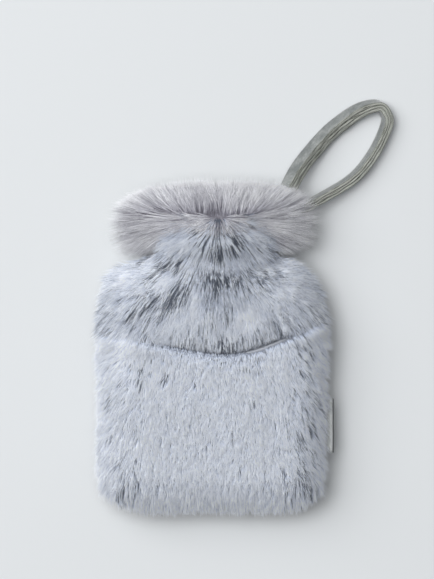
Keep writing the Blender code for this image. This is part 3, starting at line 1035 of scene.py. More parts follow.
@dataclass(frozen=True)
class Body:
    """The three panels of the body and their pile."""

    form: CoverForm = CoverForm()
    parting: Parting = Parting()
    columns: int = 44
    lower_rows: int = 44
    upper_rows: int = 44
    back_rows: int = 60
    tongue: float = 22.0         # length of the upper front under the lower one
    edge_rise: float = 4.4       # how far the lower front's turned edge stands up
    edge_width: float = 9.0
    edge_round: float = 2.2
    tongue_thin: float = 0.2     # how much thinner the tongue is than the cloth
    tongue_over: float = 6.0     # length over which a panel rises off the tongue
    half_span: float = 90.0      # roots are tried this far to each side
    steepest: float = 2.5        # most by which a slope adds roots
    yoke_y: float = 68.0         # where the yoke's pile takes over
    lower_tone: float = 0.575
    upper_tone: float = 0.48
    back_tone: float = 0.7
    lower_hairs: int = 68000
    upper_hairs: int = 38000
    long_hairs: int = 10000
    back_hairs: int = 13000
    lower_pile: Pile = Pile(lean=0.75, tuft=2.6, stray=0.36, gather=0.1, width=0.46, uneven=0.27, dark=0.0,
                            depth=0.36, streak=0.6, seed=21)
    upper_pile: Pile = Pile(lean=0.95, stray=0.4, gather=0.35, width=0.43, lumps=1.8, streak=0.55, seed=22)
    long_pile: Pile = Pile(lean=1.2, stray=0.4, width=0.34, lumps=1.8, streak=0.55, depth=0.55, seed=25)
    back_pile: Pile = Pile(seed=23, width=0.8, gather=0.2, sides=0.0)
    fur: PileFinish = PileFinish("body_pile", (0.12, 0.14, 0.185), (0.56, 0.625, 0.77), (0.875, 0.92, 1.0),
                                 1.7, 0.5)
    cloth: ClothFinish = ClothFinish("body_cloth", (0.10, 0.11, 0.14), (0.30, 0.32, 0.38),
                                     (0.55, 0.56, 0.58))

    def rows(self, start: float, end: float, count: int, bow: Array) -> tuple[Array, Array]:
        """x and y of a panel's grid, whose rows take the lap's curve by the share bow.

        Args:
            start, end: Base y of the first and the last row, at the lap's lowest point.
            count: Number of rows.
            bow: Share of the lap's curve that each row takes.

        Returns:
            x and y, rows by columns.
        """
        share = np.linspace(0.0, 1.0, count)[:, None]
        ease = 0.5 - 0.5 * np.cos(np.pi * share)
        base = start + (end - start) * (0.45 * share + 0.55 * ease)
        across = 0.5 - 0.5 * np.cos(np.pi * np.linspace(0.0, 1.0, self.columns))
        y = np.broadcast_to(base, (count, self.columns))
        x = y
        for _ in range(12):
            left, right = self.form.cloth_edges(y)
            x = left + (right - left) * across
            y = base + bow[:, None] * (self.form.lap_line(x) - self.form.lap_y)
        return x, y

    def lower_top(self, x: Array, y: Array) -> Array:
        """Outside of the lower front's cloth, which stands up at the lap and is turned over there."""
        above = self.form.above_lap(x, y)
        edge = self.edge_rise * smooth(1.0 + above / self.edge_width)
        return self.form.cloth_top(x, y) + edge - self.edge_round * (1.0 - swell(-above / self.edge_round))

    def lower_inside(self, x: Array, y: Array) -> Array:
        """Inside of the lower front's cloth, raised where it lies on the tongue."""
        behind = -self.form.above_lap(x, y) - self.tongue
        raised = smooth(1.0 - behind / self.tongue_over)
        return self.form.inner_top(x, y) + (self.form.cloth + self.form.gap) * raised

    def upper_top(self, x: Array, y: Array) -> Array:
        """Outside of the upper front's cloth: a tongue under the lap, then its own full height."""
        tongue = self.form.inner_top(x, y) + self.form.cloth - self.tongue_thin
        share = smooth(self.form.above_lap(x, y) / self.tongue_over)
        return tongue + (np.maximum(self.form.cloth_top(x, y), tongue) - tongue) * share

    def panel(self, name: str, x: Array, y: Array, outer: Array, inner: Array,
              hem: Array | None = None) -> bpy.types.Object:
        """One panel of cloth.

        Args:
            name: The panel's name.
            x, y: Its grid in plan.
            outer, inner: Height of its outside and of its inside.
            hem: Share of the hem's look at each point, or None for a panel without one.

        Returns:
            The piece.
        """
        low, high = (inner, outer) if name != "back_cloth" else (outer, inner)
        surface = closed_sheet(np.stack([x, y, high], -1), np.stack([x, y, low], -1))
        if name == "back_cloth":
            surface.values["inside"] = 1.0 - surface.values["inside"]
        if hem is not None:
            surface.values["hem"] = np.tile(hem.ravel(), 2)
        return surface.piece(name, self.cloth.material(), Slot.FUR)

    def scatter(self, count: int, low: float, high: float, height: Callable[[Array, Array], Array],
                chosen: Callable[[Array, Array], Array], seed: int) -> tuple[Array, Array]:
        """Roots spread evenly over a panel, as many to each area of its slopes as of its flat part.

        Args:
            count: Number of roots.
            low, high: Range of y.
            height: The panel's outside.
            chosen: Which places belong to the panel.
            seed: Seed of the draw.

        Returns:
            Roots and upward normals.
        """
        rng = np.random.default_rng(seed)
        tries = 8 * count
        x, y = rng.uniform(-self.half_span, self.half_span, tries), rng.uniform(low, high, tries)
        left, right = self.form.cloth_edges(y)
        inside = (x > left) & (x < right) & chosen(x, y)
        x, y = x[inside], y[inside]
        slope = np.minimum(1.0 / normals_of(height, x, y)[:, 2], self.steepest)
        normal = normals_of(self.form.cloth_top if height != self.form.cloth_floor else height, x, y)
        taken = rng.random(len(x)) * self.steepest < slope
        x, y, normal = x[taken][:count], y[taken][:count], normal[taken][:count]
        LOG.info("%d of %d roots", len(x), count)
        return np.stack([x, y, height(x, y)], -1), normal

    def nap(self, root: Array) -> Array:
        """The nap at each root, level."""
        return level(self.parting.nap(root[:, 0], root[:, 1]))

    def make_lower(self, finish: bpy.types.Material) -> list[bpy.types.Object]:
        """The lower front and its pile, in two halves."""
        form = self.form
        share = np.linspace(0.0, 1.0, self.lower_rows)
        x, y = self.rows(form.foot_y(), form.lap_y, self.lower_rows, share ** 4)
        above = form.above_lap(x, y)
        # The hem shows on the right, where the pile starts a little below the edge.
        hem = np.where(above < -0.8, smooth(1.0 + above / 6.0), 0.0) * smooth((x - 5.0) / 20.0)
        sheet = self.panel("lower_front_cloth", x, y, self.lower_top(x, y), self.lower_inside(x, y), hem)

        def below_lap(x: Array, y: Array) -> Array:
            """Up to the lap's edge, and a little short of it on the right."""
            return form.above_lap(x, y) < 1.6 - 3.0 * smooth((x - 12.0) / 20.0)

        root, normal = self.scatter(self.lower_hairs, form.foot_y(), 25.0, self.lower_top, below_lap, 11)
        edge = np.maximum(smooth(-form.above_lap(root[:, 0], root[:, 1]) / 8.0), form.open_side(root[:, 0]))
        height = (form.column(WALL, root[:, 1]) - form.cloth) * (0.4 + 0.6 * edge)
        reach = height * self.lower_pile.lean + 1.0 * (1.0 - edge)
        # Paler over the foot and down the right side, where less light falls on the pile.
        tone = self.lower_tone + 0.03 * edge + 0.05 * smooth((-98.0 - root[:, 1]) / 14.0)
        tone = tone + 0.04 * smooth((root[:, 0] - 58.0) / 16.0)
        hairs = self.lower_pile.grow(root, normal, self.nap(root), height, tone, reach)
        self.droop(hairs)
        return [sheet, *self.halves("lower_front_fur", hairs, finish, (0.4,))]

    def droop(self, hairs: Hairs) -> None:
        """Hairs that leave a front panel close above its seam hang down over the seam."""
        above = hairs.root[:, 2] - self.form.lift(hairs.root[:, 1]) - self.form.seam_height
        steep = smooth((1.0 - hairs.up[:, 2]) / 0.4)
        share = smooth(1.0 - above / 11.0) * steep * np.random.default_rng(51).uniform(0.1, 1.0, len(above))
        hairs.bend[:, 2] -= 1.5 * share
        hairs.tip[:, 2] -= 7.0 * share

    def halves(self, name: str, hairs: Hairs, finish: bpy.types.Material,
               shares: tuple[float, ...]) -> list[bpy.types.Object]:
        """The hairs as a left and a right piece."""
        left = hairs.root[:, 0] < self.parting.x
        return [hairs.keep(part).surface(shares).piece(f"{name}_{side}", finish, Slot.FUR)
                for side, part in (("left", left), ("right", ~left))]

    def make_upper(self, finish: bpy.types.Material) -> list[bpy.types.Object]:
        """The upper front with its tongue and neck, and its pile up to the yoke."""
        form = self.form
        share = np.linspace(0.0, 1.0, self.upper_rows)
        x, y = self.rows(form.lap_y - self.tongue, form.neck_y(), self.upper_rows, (1.0 - share) ** 3)
        sheet = self.panel("upper_front_cloth", x, y, self.upper_top(x, y), form.inner_top(x, y))
        made = [sheet]
        for name, count, shares, pile in (
                ("upper_front_fur", self.upper_hairs, (0.35,), self.upper_pile),
                ("upper_front_long_fur", self.long_hairs, (0.0, 0.5), self.long_pile)):
            root, normal = self.scatter(count, -6.0, self.yoke_y, self.upper_top,
                                        lambda x, y: form.above_lap(x, y) > 0.8, pile.seed)
            above = form.above_lap(root[:, 0], root[:, 1])
            open_side = form.open_side(root[:, 0])
            height = np.maximum(form.column(WALL, root[:, 1]) - form.cloth, 8.0)
            height = height * (0.5 + 0.5 * np.maximum(smooth(above / 14.0), open_side))
            nap = self.nap(root)
            room = np.maximum(above + 0.6, 0.8) / np.maximum(-nap[:, 1], 0.2) + 20.0 * open_side
            reach = np.minimum(height * pile.lean, room)
            # Painted shade on the hairs close above the lap, where they go under the lower front's edge;
            # deeper on the right.
            near = smooth(1.0 - above / 10.0) * (1.0 - open_side)
            tone = self.upper_tone - near * (0.3 + 0.28 * smooth((root[:, 0] + 30.0) / 40.0))
            middle = smooth(1.3 - np.abs(root[:, 0] - form.lap_x) / 18.0)
            tone = tone - 0.1 * (middle * smooth((root[:, 1] - 28.0) / 12.0))
            hairs = pile.grow(root, normal, nap, height, tone, reach)
            self.droop(hairs)
            wide = 0.7 + 1.6 * smooth((root[:, 0] + 20.0) / 40.0)
            ragged = np.random.default_rng(pile.seed + 7).uniform(-1.0, 1.5, len(root)) * wide
            for points in (hairs.bend, hairs.tip):
                short = form.lap_line(points[:, 0]) + ragged - points[:, 1]
                points[:, 1] += np.maximum(short, 0.0) * (1.0 - open_side)
            made += self.halves(name, hairs, finish, shares)
        return made

    def make_back(self, finish: bpy.types.Material) -> list[bpy.types.Object]:
        """The back panel, with its pile pressed flat under the cover and standing out at the sides."""
        form = self.form
        x, y = self.rows(form.foot_y(), form.neck_y(), self.back_rows, np.zeros(self.back_rows))
        sheet = self.panel("back_cloth", x, y, form.cloth_floor(x, y), form.inner_floor(x, y))
        root, normal = self.scatter(3 * self.back_hairs, form.foot_y(), self.yoke_y, form.cloth_floor,
                                    lambda x, y: np.ones(len(x), bool), 13)
        normal = -normal
        side = (1.0 - np.abs(normal[:, 2])) ** 0.6
        # A quarter of the roots under the cover, and all of them at its sides.
        rng = np.random.default_rng(14)
        taken = np.flatnonzero(rng.random(len(root)) < 0.25 + 0.75 * smooth(side / 0.5))[:self.back_hairs]
        root, normal, side = root[taken], normal[taken], side[taken]
        under = form.under_wall - form.cloth + form.lift(root[:, 1]) - 0.5
        height = under + (form.column(WALL, root[:, 1]) - form.cloth - under) * side
        reach = np.where(side > 0.5, 7.0, 11.0)
        hairs = self.back_pile.grow(root, normal, self.nap(root), height, self.back_tone, reach)
        hairs.face = unit(normal + np.array([0.0, 0.0, 1.1]) * side[:, None])
        below = form.seam_height + form.lift(root[:, 1]) - root[:, 2]
        hairs.tip[:, 2] += 5.0 * smooth(1.0 - below / 9.0) * side * rng.random(len(root))
        return [sheet, hairs.surface((0.0,)).piece("back_fur", finish, Slot.FUR)]

    def build(self) -> dict[str, list[bpy.types.Object]]:
        """All the body's pieces, which stand for their CAD nodes."""
        finish = self.fur.material()
        made = {"front_lower": self.make_lower(finish), "front_upper": self.make_upper(finish),
                "back_panel": self.make_back(finish)}
        for node, (sheet, *furs) in made.items():
            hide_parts(node)
        return made


# ---------------------------------------------------------------- the ruff


@dataclass(frozen=True)
class Ruff:
    """The cuff around the neck and the long fur on it, which parts at the star and fans out."""

    parting: Parting = Parting()
    x: float = 0.5
    z: float = 20.0
    half_width: float = 37.4
    half_height: float = 15.2
    power: float = 3.2
    thick: float = 2.4
    start: float = 71.0
    end: float = 111.0
    round_share: float = 1.86    # length around over twice the sum of the half sizes
    band_points: int = 20        # points around the section of the cuff's band
    band_power: float = 0.35     # how square the ends of that section are
    fur_half: float = 17.5       # half the length of the cuff that bears fur
    # The outside of the long fur: a flat dome, level with the middle of the cuff.
    reach_x: float = 1.1
    reach_y: float = 94.5
    reach_width: float = 77.5
    reach_length: float = 25.8
    reach_below: float = 33.5
    reach_powers: tuple[float, ...] = (2.15, 2.6, 4.4, 3.4)    # upper left and right, lower left and right
    top: float = 49.5
    bottom: float = 0.6
    around: int = 72
    # Height of the parting across the neck.
    crease_x: tuple[float, ...] = (-50.0, -35.0, -18.0, 3.4, 25.0, 47.0)
    crease_y: tuple[float, ...] = (90.0, 92.2, 94.3, 93.0, 95.0, 91.0)
    # Angle of the fur above the parting from +Y, by the distance from the star across the neck.
    lean_off: tuple[float, ...] = (0.0, 8.0, 16.0, 30.0, 38.0, 46.0, 54.0, 60.0)
    lean: tuple[float, ...] = (0.0, 16.0, 12.0, 12.0, 16.0, 28.0, 52.0, 80.0)
    top_hairs: int = 14000
    side_hairs: int = 10000
    yoke_hairs: int = 34000
    hair_width: float = 0.4
    shortest: float = 5.0
    wisps: float = 0.16          # share of the hairs that are thin and reach past the outline
    dome_share: float = 0.94     # how far out of the outline's reach the dome's height is taken
    yoke_length: float = 29.0    # from the parting down the neck
    yoke_pile: Pile = Pile(seed=24, tuft=3.4, stray=0.36, gather=0.35, width=0.42, uneven=0.7, dark=0.05,
                           streak=0.6, lumps=1.4)
    long_fur: PileFinish = PileFinish("ruff_pile", (0.19, 0.185, 0.225), (0.435, 0.435, 0.49),
                                      (0.94, 0.95, 0.99), 0.9, 0.4, 0.5)
    cloth: ClothFinish = ClothFinish("cuff_cloth", (0.12, 0.115, 0.14), (0.28, 0.27, 0.31),
                                     (0.55, 0.56, 0.58))

    def ring(self, angle: Array, out: float) -> tuple[Array, Array]:
        """x and z of the cuff at an angle around the neck, this far out of its inside."""
        cos, sin = power_wave(angle, self.power)
        return self.x + (self.half_width + out) * cos, self.z + (self.half_height + out) * sin

    def even_angles(self, share: Array) -> Array:
        """The angles that cut the cuff's round into these shares of its length, from -90 degrees up."""
        angle = np.linspace(-0.5 * np.pi, 1.5 * np.pi, 721)
        x, z = self.ring(angle, self.thick)
        length = np.concatenate([[0.0], np.cumsum(np.hypot(np.diff(x), np.diff(z)))])
        return np.interp(share * length[-1], length, angle)

    def off(self, x: Array, y: Array) -> Array:
        """0 at the middle of the ruff's outline in plan and 1 on it: |x|^p + |y|^p, p blended by quarter."""
        low = y < self.reach_y
        across = (x - self.reach_x) / self.reach_width
        along = (y - self.reach_y) / np.where(low, self.reach_below, self.reach_length)
        upper_left, upper_right, lower_left, lower_right = self.reach_powers
        right = smooth(0.5 + 1.5 * across)
        left_power = np.where(low, lower_left, upper_left)
        power = left_power + (np.where(low, lower_right, upper_right) - left_power) * right
        return np.abs(across) ** power + np.abs(along) ** power

    def room(self, x: Array, y: Array, way: Array) -> Array:
        """How far it is from each place to the outline, the way that a hair runs in plan."""
        steps = np.linspace(0.0, 60.0, 81)
        inside = self.off(x[:, None] + way[:, :1] * steps, y[:, None] + way[:, 1:] * steps) < 1.0
        return steps[np.maximum(inside.sum(1) - 1, 0)]

    def dome(self, x: Array, y: Array) -> Array:
        """Share of the dome's height: sqrt(1 - off)."""
        return np.sqrt(np.clip(1.0 - self.off(x, y), 0.0, 1.0))

    def make_cuff(self) -> bpy.types.Object:
        """The cuff: a round-ended band of cloth carried around the neck."""
        angle = np.linspace(0.0, 2.0 * np.pi, self.around, endpoint=False)[None, :]
        turn = np.linspace(0.0, 2.0 * np.pi, self.band_points, endpoint=False)[:, None]
        along, out = np.cos(turn), np.sin(turn)
        flat = np.sign(along) * np.abs(along) ** self.band_power
        x, z = self.ring(angle, 0.0)
        x_out, z_out = self.ring(angle, self.thick)
        share = 0.5 + 0.5 * out
        middle, half = (self.start + self.end) / 2, (self.end - self.start) / 2
        size = (self.band_points, self.around)
        y = np.broadcast_to(middle + half * flat, size)
        points = np.stack([x + (x_out - x) * share, y, z + (z_out - z) * share], -1)
        faces = grid(self.band_points + 1, self.around, True) % (self.band_points * self.around)
        inside = np.broadcast_to(np.where(out < -0.2, 1.0, 0.0), size)
        surface = Surface(points.reshape(-1, 3), faces, values={"inside": inside.ravel()})
        cuff = surface.piece("ruff_cuff", self.cloth.material(), Slot.RUFF_FUR)
        return cuff

    def way(self, x: Array, y: Array) -> Array:
        """Unit direction of the long fur in plan.

        Above the parting its angle from +Y grows with the distance from the star, more so close to the
        parting, and below the parting it runs from a point near the star.
        """
        off, rise = x - self.parting.x, y - self.parting.y
        lean = np.interp(np.abs(off), self.lean_off, self.lean)
        lean = lean + (90.0 - lean) * 0.6 * smooth(1.0 - rise / 5.0) * smooth((np.abs(off) - 8.0) / 30.0)
        turn = np.radians(lean) * np.sign(off)
        above = np.stack([np.sin(turn), np.cos(turn)], -1)
        below = unit(np.stack([0.85 * off, 1.6 * rise - 0.5], -1))
        return np.where(rise[:, None] > 0.0, above, below)

    def make_fur(self, angle: Array, axial: Array, seed: int, finish: bpy.types.Material,
                 name: str) -> bpy.types.Object:
        """Long hairs from the cuff.

        A hair leaves the cuff half along the cuff's normal and half the way that the fur runs. Its tip is
        under the dome, a random share of the way to the outline.

        Args:
            angle: Place of each root around the neck.
            axial: Place along the cuff, from -1 at the body to 1 at the mouth.
            seed: Seed of the noise.
            finish: The fur's material.
            name: The piece's name.

        Returns:
            The piece.
        """
        rng = np.random.default_rng(seed)
        noise = Noise(seed + 50)
        count = len(angle)
        x, z = self.ring(angle, self.thick)
        y = np.interp(x, self.crease_x, self.crease_y) + self.fur_half * axial
        normal = unit(np.stack([np.cos(angle) / self.half_width, np.zeros(count),
                                np.sin(angle) / self.half_height], -1))
        normal = unit(np.sign(normal) * np.abs(normal) ** (self.power - 1))
        root = np.stack([x, y, z], -1)
        upper = (axial > 0.0) & (z > self.z)
        sideways = smooth((np.abs(x - self.x) - 18.0) / 22.0)
        out = np.where(upper, rng.uniform(0.0, 14.0, count) * sideways * np.sign(x - self.x), 0.0)
        near_x, near_y = x + out + np.where(upper, 3.0, 9.0) * normal[:, 0], y
        own = noise.tufts(near_x + 0.6 * z, near_y, 3.6)[2]
        way = self.way(near_x, near_y)
        turn = 0.2 * noise.soft(near_x, near_y, 11.0) + 0.4 * (own - 0.5) + rng.normal(0.0, 0.15, count)
        cos, sin = np.cos(turn), np.sin(turn)
        way = np.stack([way[:, 0] * cos - way[:, 1] * sin, way[:, 0] * sin + way[:, 1] * cos], -1)
        room = self.room(x + out, y, way)
        full = rng.random(count) < 0.5
        share = np.where(full, rng.uniform(0.8, 1.05, count), rng.uniform(0.35, 0.95, count))
        length = np.minimum(room * share, rng.uniform(24.0, 42.0, count))
        wisp = rng.random(count) < self.wisps
        length = np.where(wisp, np.minimum(room, 46.0) + rng.uniform(-3.0, 4.5, count), length)
        length = np.maximum(length, self.shortest)
        short = (axial < 0.0) & (z > self.z + 0.8 * self.half_height)
        over = smooth((np.abs(x - self.x) - 14.0) / 20.0)
        length = np.where(short, np.minimum(rng.uniform(8.0, 15.0, count) + 22.0 * over, length), length)
        tip_x, tip_y = x + out + way[:, 0] * length, y + way[:, 1] * length
        high = np.where(z > self.z, self.top - self.z, self.z - self.bottom)
        lifted = np.clip((z - self.z) / (self.half_height + self.thick), -1.0, 1.0)
        dome = self.dome(self.reach_x + self.dome_share * (tip_x - self.reach_x),
                         self.reach_y + self.dome_share * (tip_y - self.reach_y))
        tip = np.stack([tip_x, tip_y, self.z + lifted * high * dome * rng.uniform(0.8, 1.0, count)], -1)
        bend = root + (0.30 * normal + 0.26 * level(way)) * length[:, None]
        bend[:, 0] += out
        seen_x, seen_y = (x + out + tip_x) / 2, (y + tip_y) / 2
        streak = noise.streaks(seen_x, seen_y, way, 11.0, 1.0)
        shade = 0.1 + sum(patch.share(seen_x, seen_y) for patch in RUFF_PATCHES)
        tone = 0.50 + 0.14 * (own - 0.5) + 0.14 * (streak - 0.5) + rng.normal(0.0, 0.09, count)
        # Painted light and shade: paler on the right of the ruff, away from the light, and darker on its
        # left, which faces it.
        tone = tone + 0.06 * smooth((x - 10.0) / 30.0) - 0.05 * smooth((-18.0 - x) / 20.0) - 0.04
        tone = tone + 0.12 * smooth((self.off(tip_x, tip_y) - 0.7) / 0.3)
        tone = tone + 0.12 * noise.soft(tip_x, tip_y, 14.0) - 0.3 * smooth((shade - streak) / 0.2 + 0.4)
        # Darker at the parting and paler towards the mouth.
        rise = np.clip((seen_y - self.parting.y) / 15.0, 0.0, 1.0)
        tone = tone + np.where(upper, 0.26 * (rise - 0.72), -0.03) + 0.24 * wisp
        width = self.hair_width * rng.uniform(0.6, 1.3, count) * np.where(wisp, 0.5, 1.0)
        face = unit(np.stack([(seen_x - self.reach_x) / self.reach_width ** 1.5,
                              (seen_y - self.reach_y) / self.reach_length ** 1.5,
                              0.3 * np.sign(lifted + 0.3)], -1))
        hairs = Hairs(root, bend, tip, normal, width, tone, face)
        return hairs.surface((0.0, 0.45)).piece(name, finish, Slot.RUFF_FUR)

    def make_yoke(self, finish: bpy.types.Material) -> bpy.types.Object:
        """The pile over the front of the neck, which runs from the star down over the shoulders."""
        rng = np.random.default_rng(31)
        count = self.yoke_hairs
        x = rng.uniform(self.x - self.half_width, self.x + self.half_width, count)
        y = np.interp(x, self.crease_x, self.crease_y) + 0.3 - self.yoke_length * rng.random(count)
        side = np.clip(np.abs(x - self.x) / (self.half_width + self.thick), 0.0, 1.0)
        outer = self.half_height + self.thick
        z = self.z + outer * (1.0 - side ** self.power) ** (1.0 / self.power)
        root = np.stack([x, y, z], -1)
        over = np.maximum(z - self.z, 0.0) / outer
        normal = unit(np.stack([np.sign(x - self.x) * side ** (self.power - 1) / self.half_width,
                                np.zeros(count), over ** (self.power - 1) / self.half_height], -1))
        stray = Noise(32)
        nap = level(self.parting.nap(x + 3.5 * stray.soft(x, y, 6.0),
                                     y + 2.5 * stray.soft(x + 90.0, y, 7.0)))
        below = np.interp(x, self.crease_x, self.crease_y) - y
        tone = 0.31 + 0.15 * smooth(below / 20.0)
        tone = tone - 0.06 * smooth((np.abs(x - self.parting.x) - 10.0) / 10.0) * smooth(1.3 - below / 16.0)
        height = 6.0 + 5.0 * smooth(below / 14.0)
        hairs = self.yoke_pile.grow(root, normal, nap, height, tone, rng.uniform(8.0, 15.0, count))
        # The ruff's own hairs take over towards the sides and at the parting.
        mixed = smooth((40.0 - np.abs(x - self.x)) / 22.0) * (0.35 + 0.65 * smooth((below + 1.0) / 12.0))
        hairs.face = unit(hairs.face * np.array([0.45, 1.0, 1.0]))
        low = smooth((below - 13.0) / 13.0)
        hairs.bend[:, 2] -= 3.0 * low
        hairs.tip[:, 2] -= 8.0 * low
        hairs = hairs.keep(rng.random(count) < mixed)
        return hairs.surface((0.3,)).piece("yoke_fur", finish, Slot.FUR)

    def build(self, body_fur: bpy.types.Material) -> list[bpy.types.Object]:
        """All the ruff's pieces, which stand for its CAD node."""
        finish = self.long_fur.material()
        rng = np.random.default_rng(41)
        cuff = self.make_cuff()
        # Shares of the cuff's round: 0 under the neck, 0.5 on top of it.
        top_angle = self.even_angles(0.5 + 0.235 * rng.uniform(-1.0, 1.0, self.top_hairs))
        along = rng.random(self.top_hairs) ** 0.85 * 1.5 - 0.5
        top = self.make_fur(top_angle, along, 42, finish, "ruff_fur_top")
        third = self.side_hairs // 3
        left = 0.75 + 0.07 * rng.uniform(-1.0, 1.0, third)
        right = 0.25 + 0.07 * rng.uniform(-1.0, 1.0, third)
        under = 0.25 * rng.uniform(-1.0, 1.0, self.side_hairs - 2 * third) % 1.0
        side_angle = self.even_angles(np.concatenate([left, right, under]))
        across = rng.uniform(-1.0, 1.0, self.side_hairs)
        sides = self.make_fur(side_angle, across, 43, finish, "ruff_fur_side")
        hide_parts("neck_ruff")
        return [cuff, top, sides, self.make_yoke(body_fur)]


# ---------------------------------------------------------------- the loop and the tab


@dataclass(frozen=True)
class HangingLoop:
    """A folded velvet strap on its edge, sewn into the ruff at both ends."""

    route: tuple[tuple[float, ...], ...] = (
        # x     y      z     thick  lean
        (52.0, 109.5, 20.0, 7.4, 5.6),
        (55.2, 117.0, 17.0, 7.4, 6.2),
        (58.2, 123.0, 14.4, 7.4, 6.4),
        (60.4, 126.8, 13.2, 7.4, 6.6),
        (64.8, 133.2, 11.0, 7.4, 6.8),
        (72.6, 142.8, 7.6, 7.4, 6.8),
        (83.0, 154.3, 5.4, 7.2, 6.6),
        (92.5, 162.4, 4.8, 7.0, 6.0),
        (103.0, 169.8, 4.9, 6.6, 5.4),
        (112.0, 173.8, 5.0, 6.0, 4.8),
        (120.4, 174.2, 5.1, 5.6, 4.4),
        (124.9, 168.6, 5.2, 5.2, 4.0),
        (125.8, 163.2, 5.2, 5.0, 3.8),
        (122.8, 153.8, 5.2, 4.9, 3.6),
        (117.1, 142.3, 5.2, 4.8, 3.5),
        (107.6, 128.7, 5.3, 4.8, 3.4),
        (97.6, 119.4, 6.4, 4.8, 3.3),
        (84.2, 111.2, 9.6, 4.8, 3.2),
        (74.1, 105.6, 13.1, 4.8, 3.2),
        (67.0, 102.0, 16.2, 4.8, 3.2),
        (59.5, 99.0, 18.6, 4.8, 3.2),
    )
    depth: float = 10.0
    widen: float = 1.22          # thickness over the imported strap's
    tilt: float = 1.12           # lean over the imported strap's
    lift: float = 0.5
    clear: float = 0.3           # the least height over the floor
    lean_way: tuple[float, float] = (0.78, -0.63)
    steps: int = 6
    ridges: int = 3
    ridge_points: int = 8
    ridge_depth: float = 0.26
    velvet: VelvetFinish = VelvetFinish()

    def outline(self) -> tuple[Array, Array, Array, Array]:
        """The strap's section, in half thicknesses and half depths: ridged along its upper edge.

        Returns:
            Across, up, groove (1 at the bottom of a groove) and ridged (1 on the ridged edge).
        """
        count = self.ridges * self.ridge_points
        share = np.linspace(0.0, 1.0, count + 1)
        phase = (share * self.ridges) % 1.0
        groove = np.abs(2.0 * phase - 1.0) ** 2.5
        across = 1.0 - 2.0 * share
        top = 1.0 - self.ridge_depth * groove * (1.0 - 0.8 * across ** 6) - 0.04 * np.abs(across) ** 3
        side_up = np.array([0.62, 0.25, -0.2, -0.6, -0.9])
        bulge = 1.0 + 0.05 * np.cos(side_up * 1.5)
        foot = np.array([-0.7, -0.25, 0.25, 0.7])
        across[[0, -1]] *= 1.02
        x = np.concatenate([across, -bulge, foot, bulge[::-1]])
        up = np.concatenate([top, side_up, [-1.0] * 4, side_up[::-1]])
        smooth_part = np.zeros(len(x) - len(across))
        dark = np.concatenate([groove, smooth_part])
        ridged = np.concatenate([np.ones(count + 1), smooth_part])
        return x, up, dark, ridged

    def build(self) -> bpy.types.Object:
        """The strap: its section carried along the route, with uneven ridges.

        Up leans over towards lean_way, side is square to it and to the route, and each point is
        middle + side thick / 2 across + up depth / 2.
        """
        stations = through_points(np.array(self.route), self.steps)
        middle = stations[:, :3] + np.array([0.0, 0.0, self.lift])
        thick, lean = self.widen * stations[:, 3], self.tilt * stations[:, 4]
        tangent = unit(np.gradient(middle, axis=0))
        rise = np.sqrt(self.depth ** 2 - lean ** 2)
        up = np.column_stack([lean * self.lean_way[0], lean * self.lean_way[1], rise])
        up = unit(up - (up * tangent).sum(1, keepdims=True) * tangent)
        side = np.cross(tangent, up)
        across, high, groove, ridged = self.outline()
        noise = Noise(61)
        length = np.concatenate([[0.0], np.cumsum(np.linalg.norm(np.diff(middle, axis=0), axis=1))])
        wave = noise.soft(length[:, None] + 0 * across, 3.0 * across[None, :] + 40.0, 5.0, 1.0)
        uneven = 0.06 * wave * ridged
        sway = 0.16 * noise.soft(length[:, None] + 0 * across, 0 * length[:, None] + across + 9.0, 9.0, 0.8)
        across = across + sway * ridged * (1.0 - across ** 4)
        points = (middle[:, None] + side[:, None] * (thick[:, None] / 2 * across)[..., None]
                  + up[:, None] * (self.depth / 2 * (high + uneven))[..., None])
        points[..., 2] = np.maximum(points[..., 2], self.clear)
        rows, columns = points.shape[:2]
        place = np.stack(np.broadcast_arrays(np.linspace(0.02, 0.98, columns)[None, :],
                                             (0.02 + 0.96 * length / length[-1])[:, None]), -1)
        middle_end = points[[0, -1]].mean(1)
        count = rows * columns
        k = np.arange(columns)
        after = (k + 1) % columns
        last = count - columns
        caps = np.vstack([np.stack([k, after, np.full(columns, count)], -1),
                          np.stack([last + after, last + k, np.full(columns, count + 1)], -1)])
        faces = grid(rows, columns, True)[:, ::-1]
        surface = Surface(np.vstack([points.reshape(-1, 3), middle_end]), faces, caps,
                          values={"groove": np.append(np.tile(groove, rows), [0, 0]),
                                  "ridged": np.append(np.tile(ridged, rows), [0, 0])},
                          place=np.vstack([place.reshape(-1, 2), [[0.5, 0.01], [0.5, 0.99]]]))
        loop = surface.piece("velvet_loop", self.velvet.material(), Slot.VELVET)
        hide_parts("hanging_loop")
        LOG.info("the loop's strap is %.0f mm long", length[-1])
        return loop


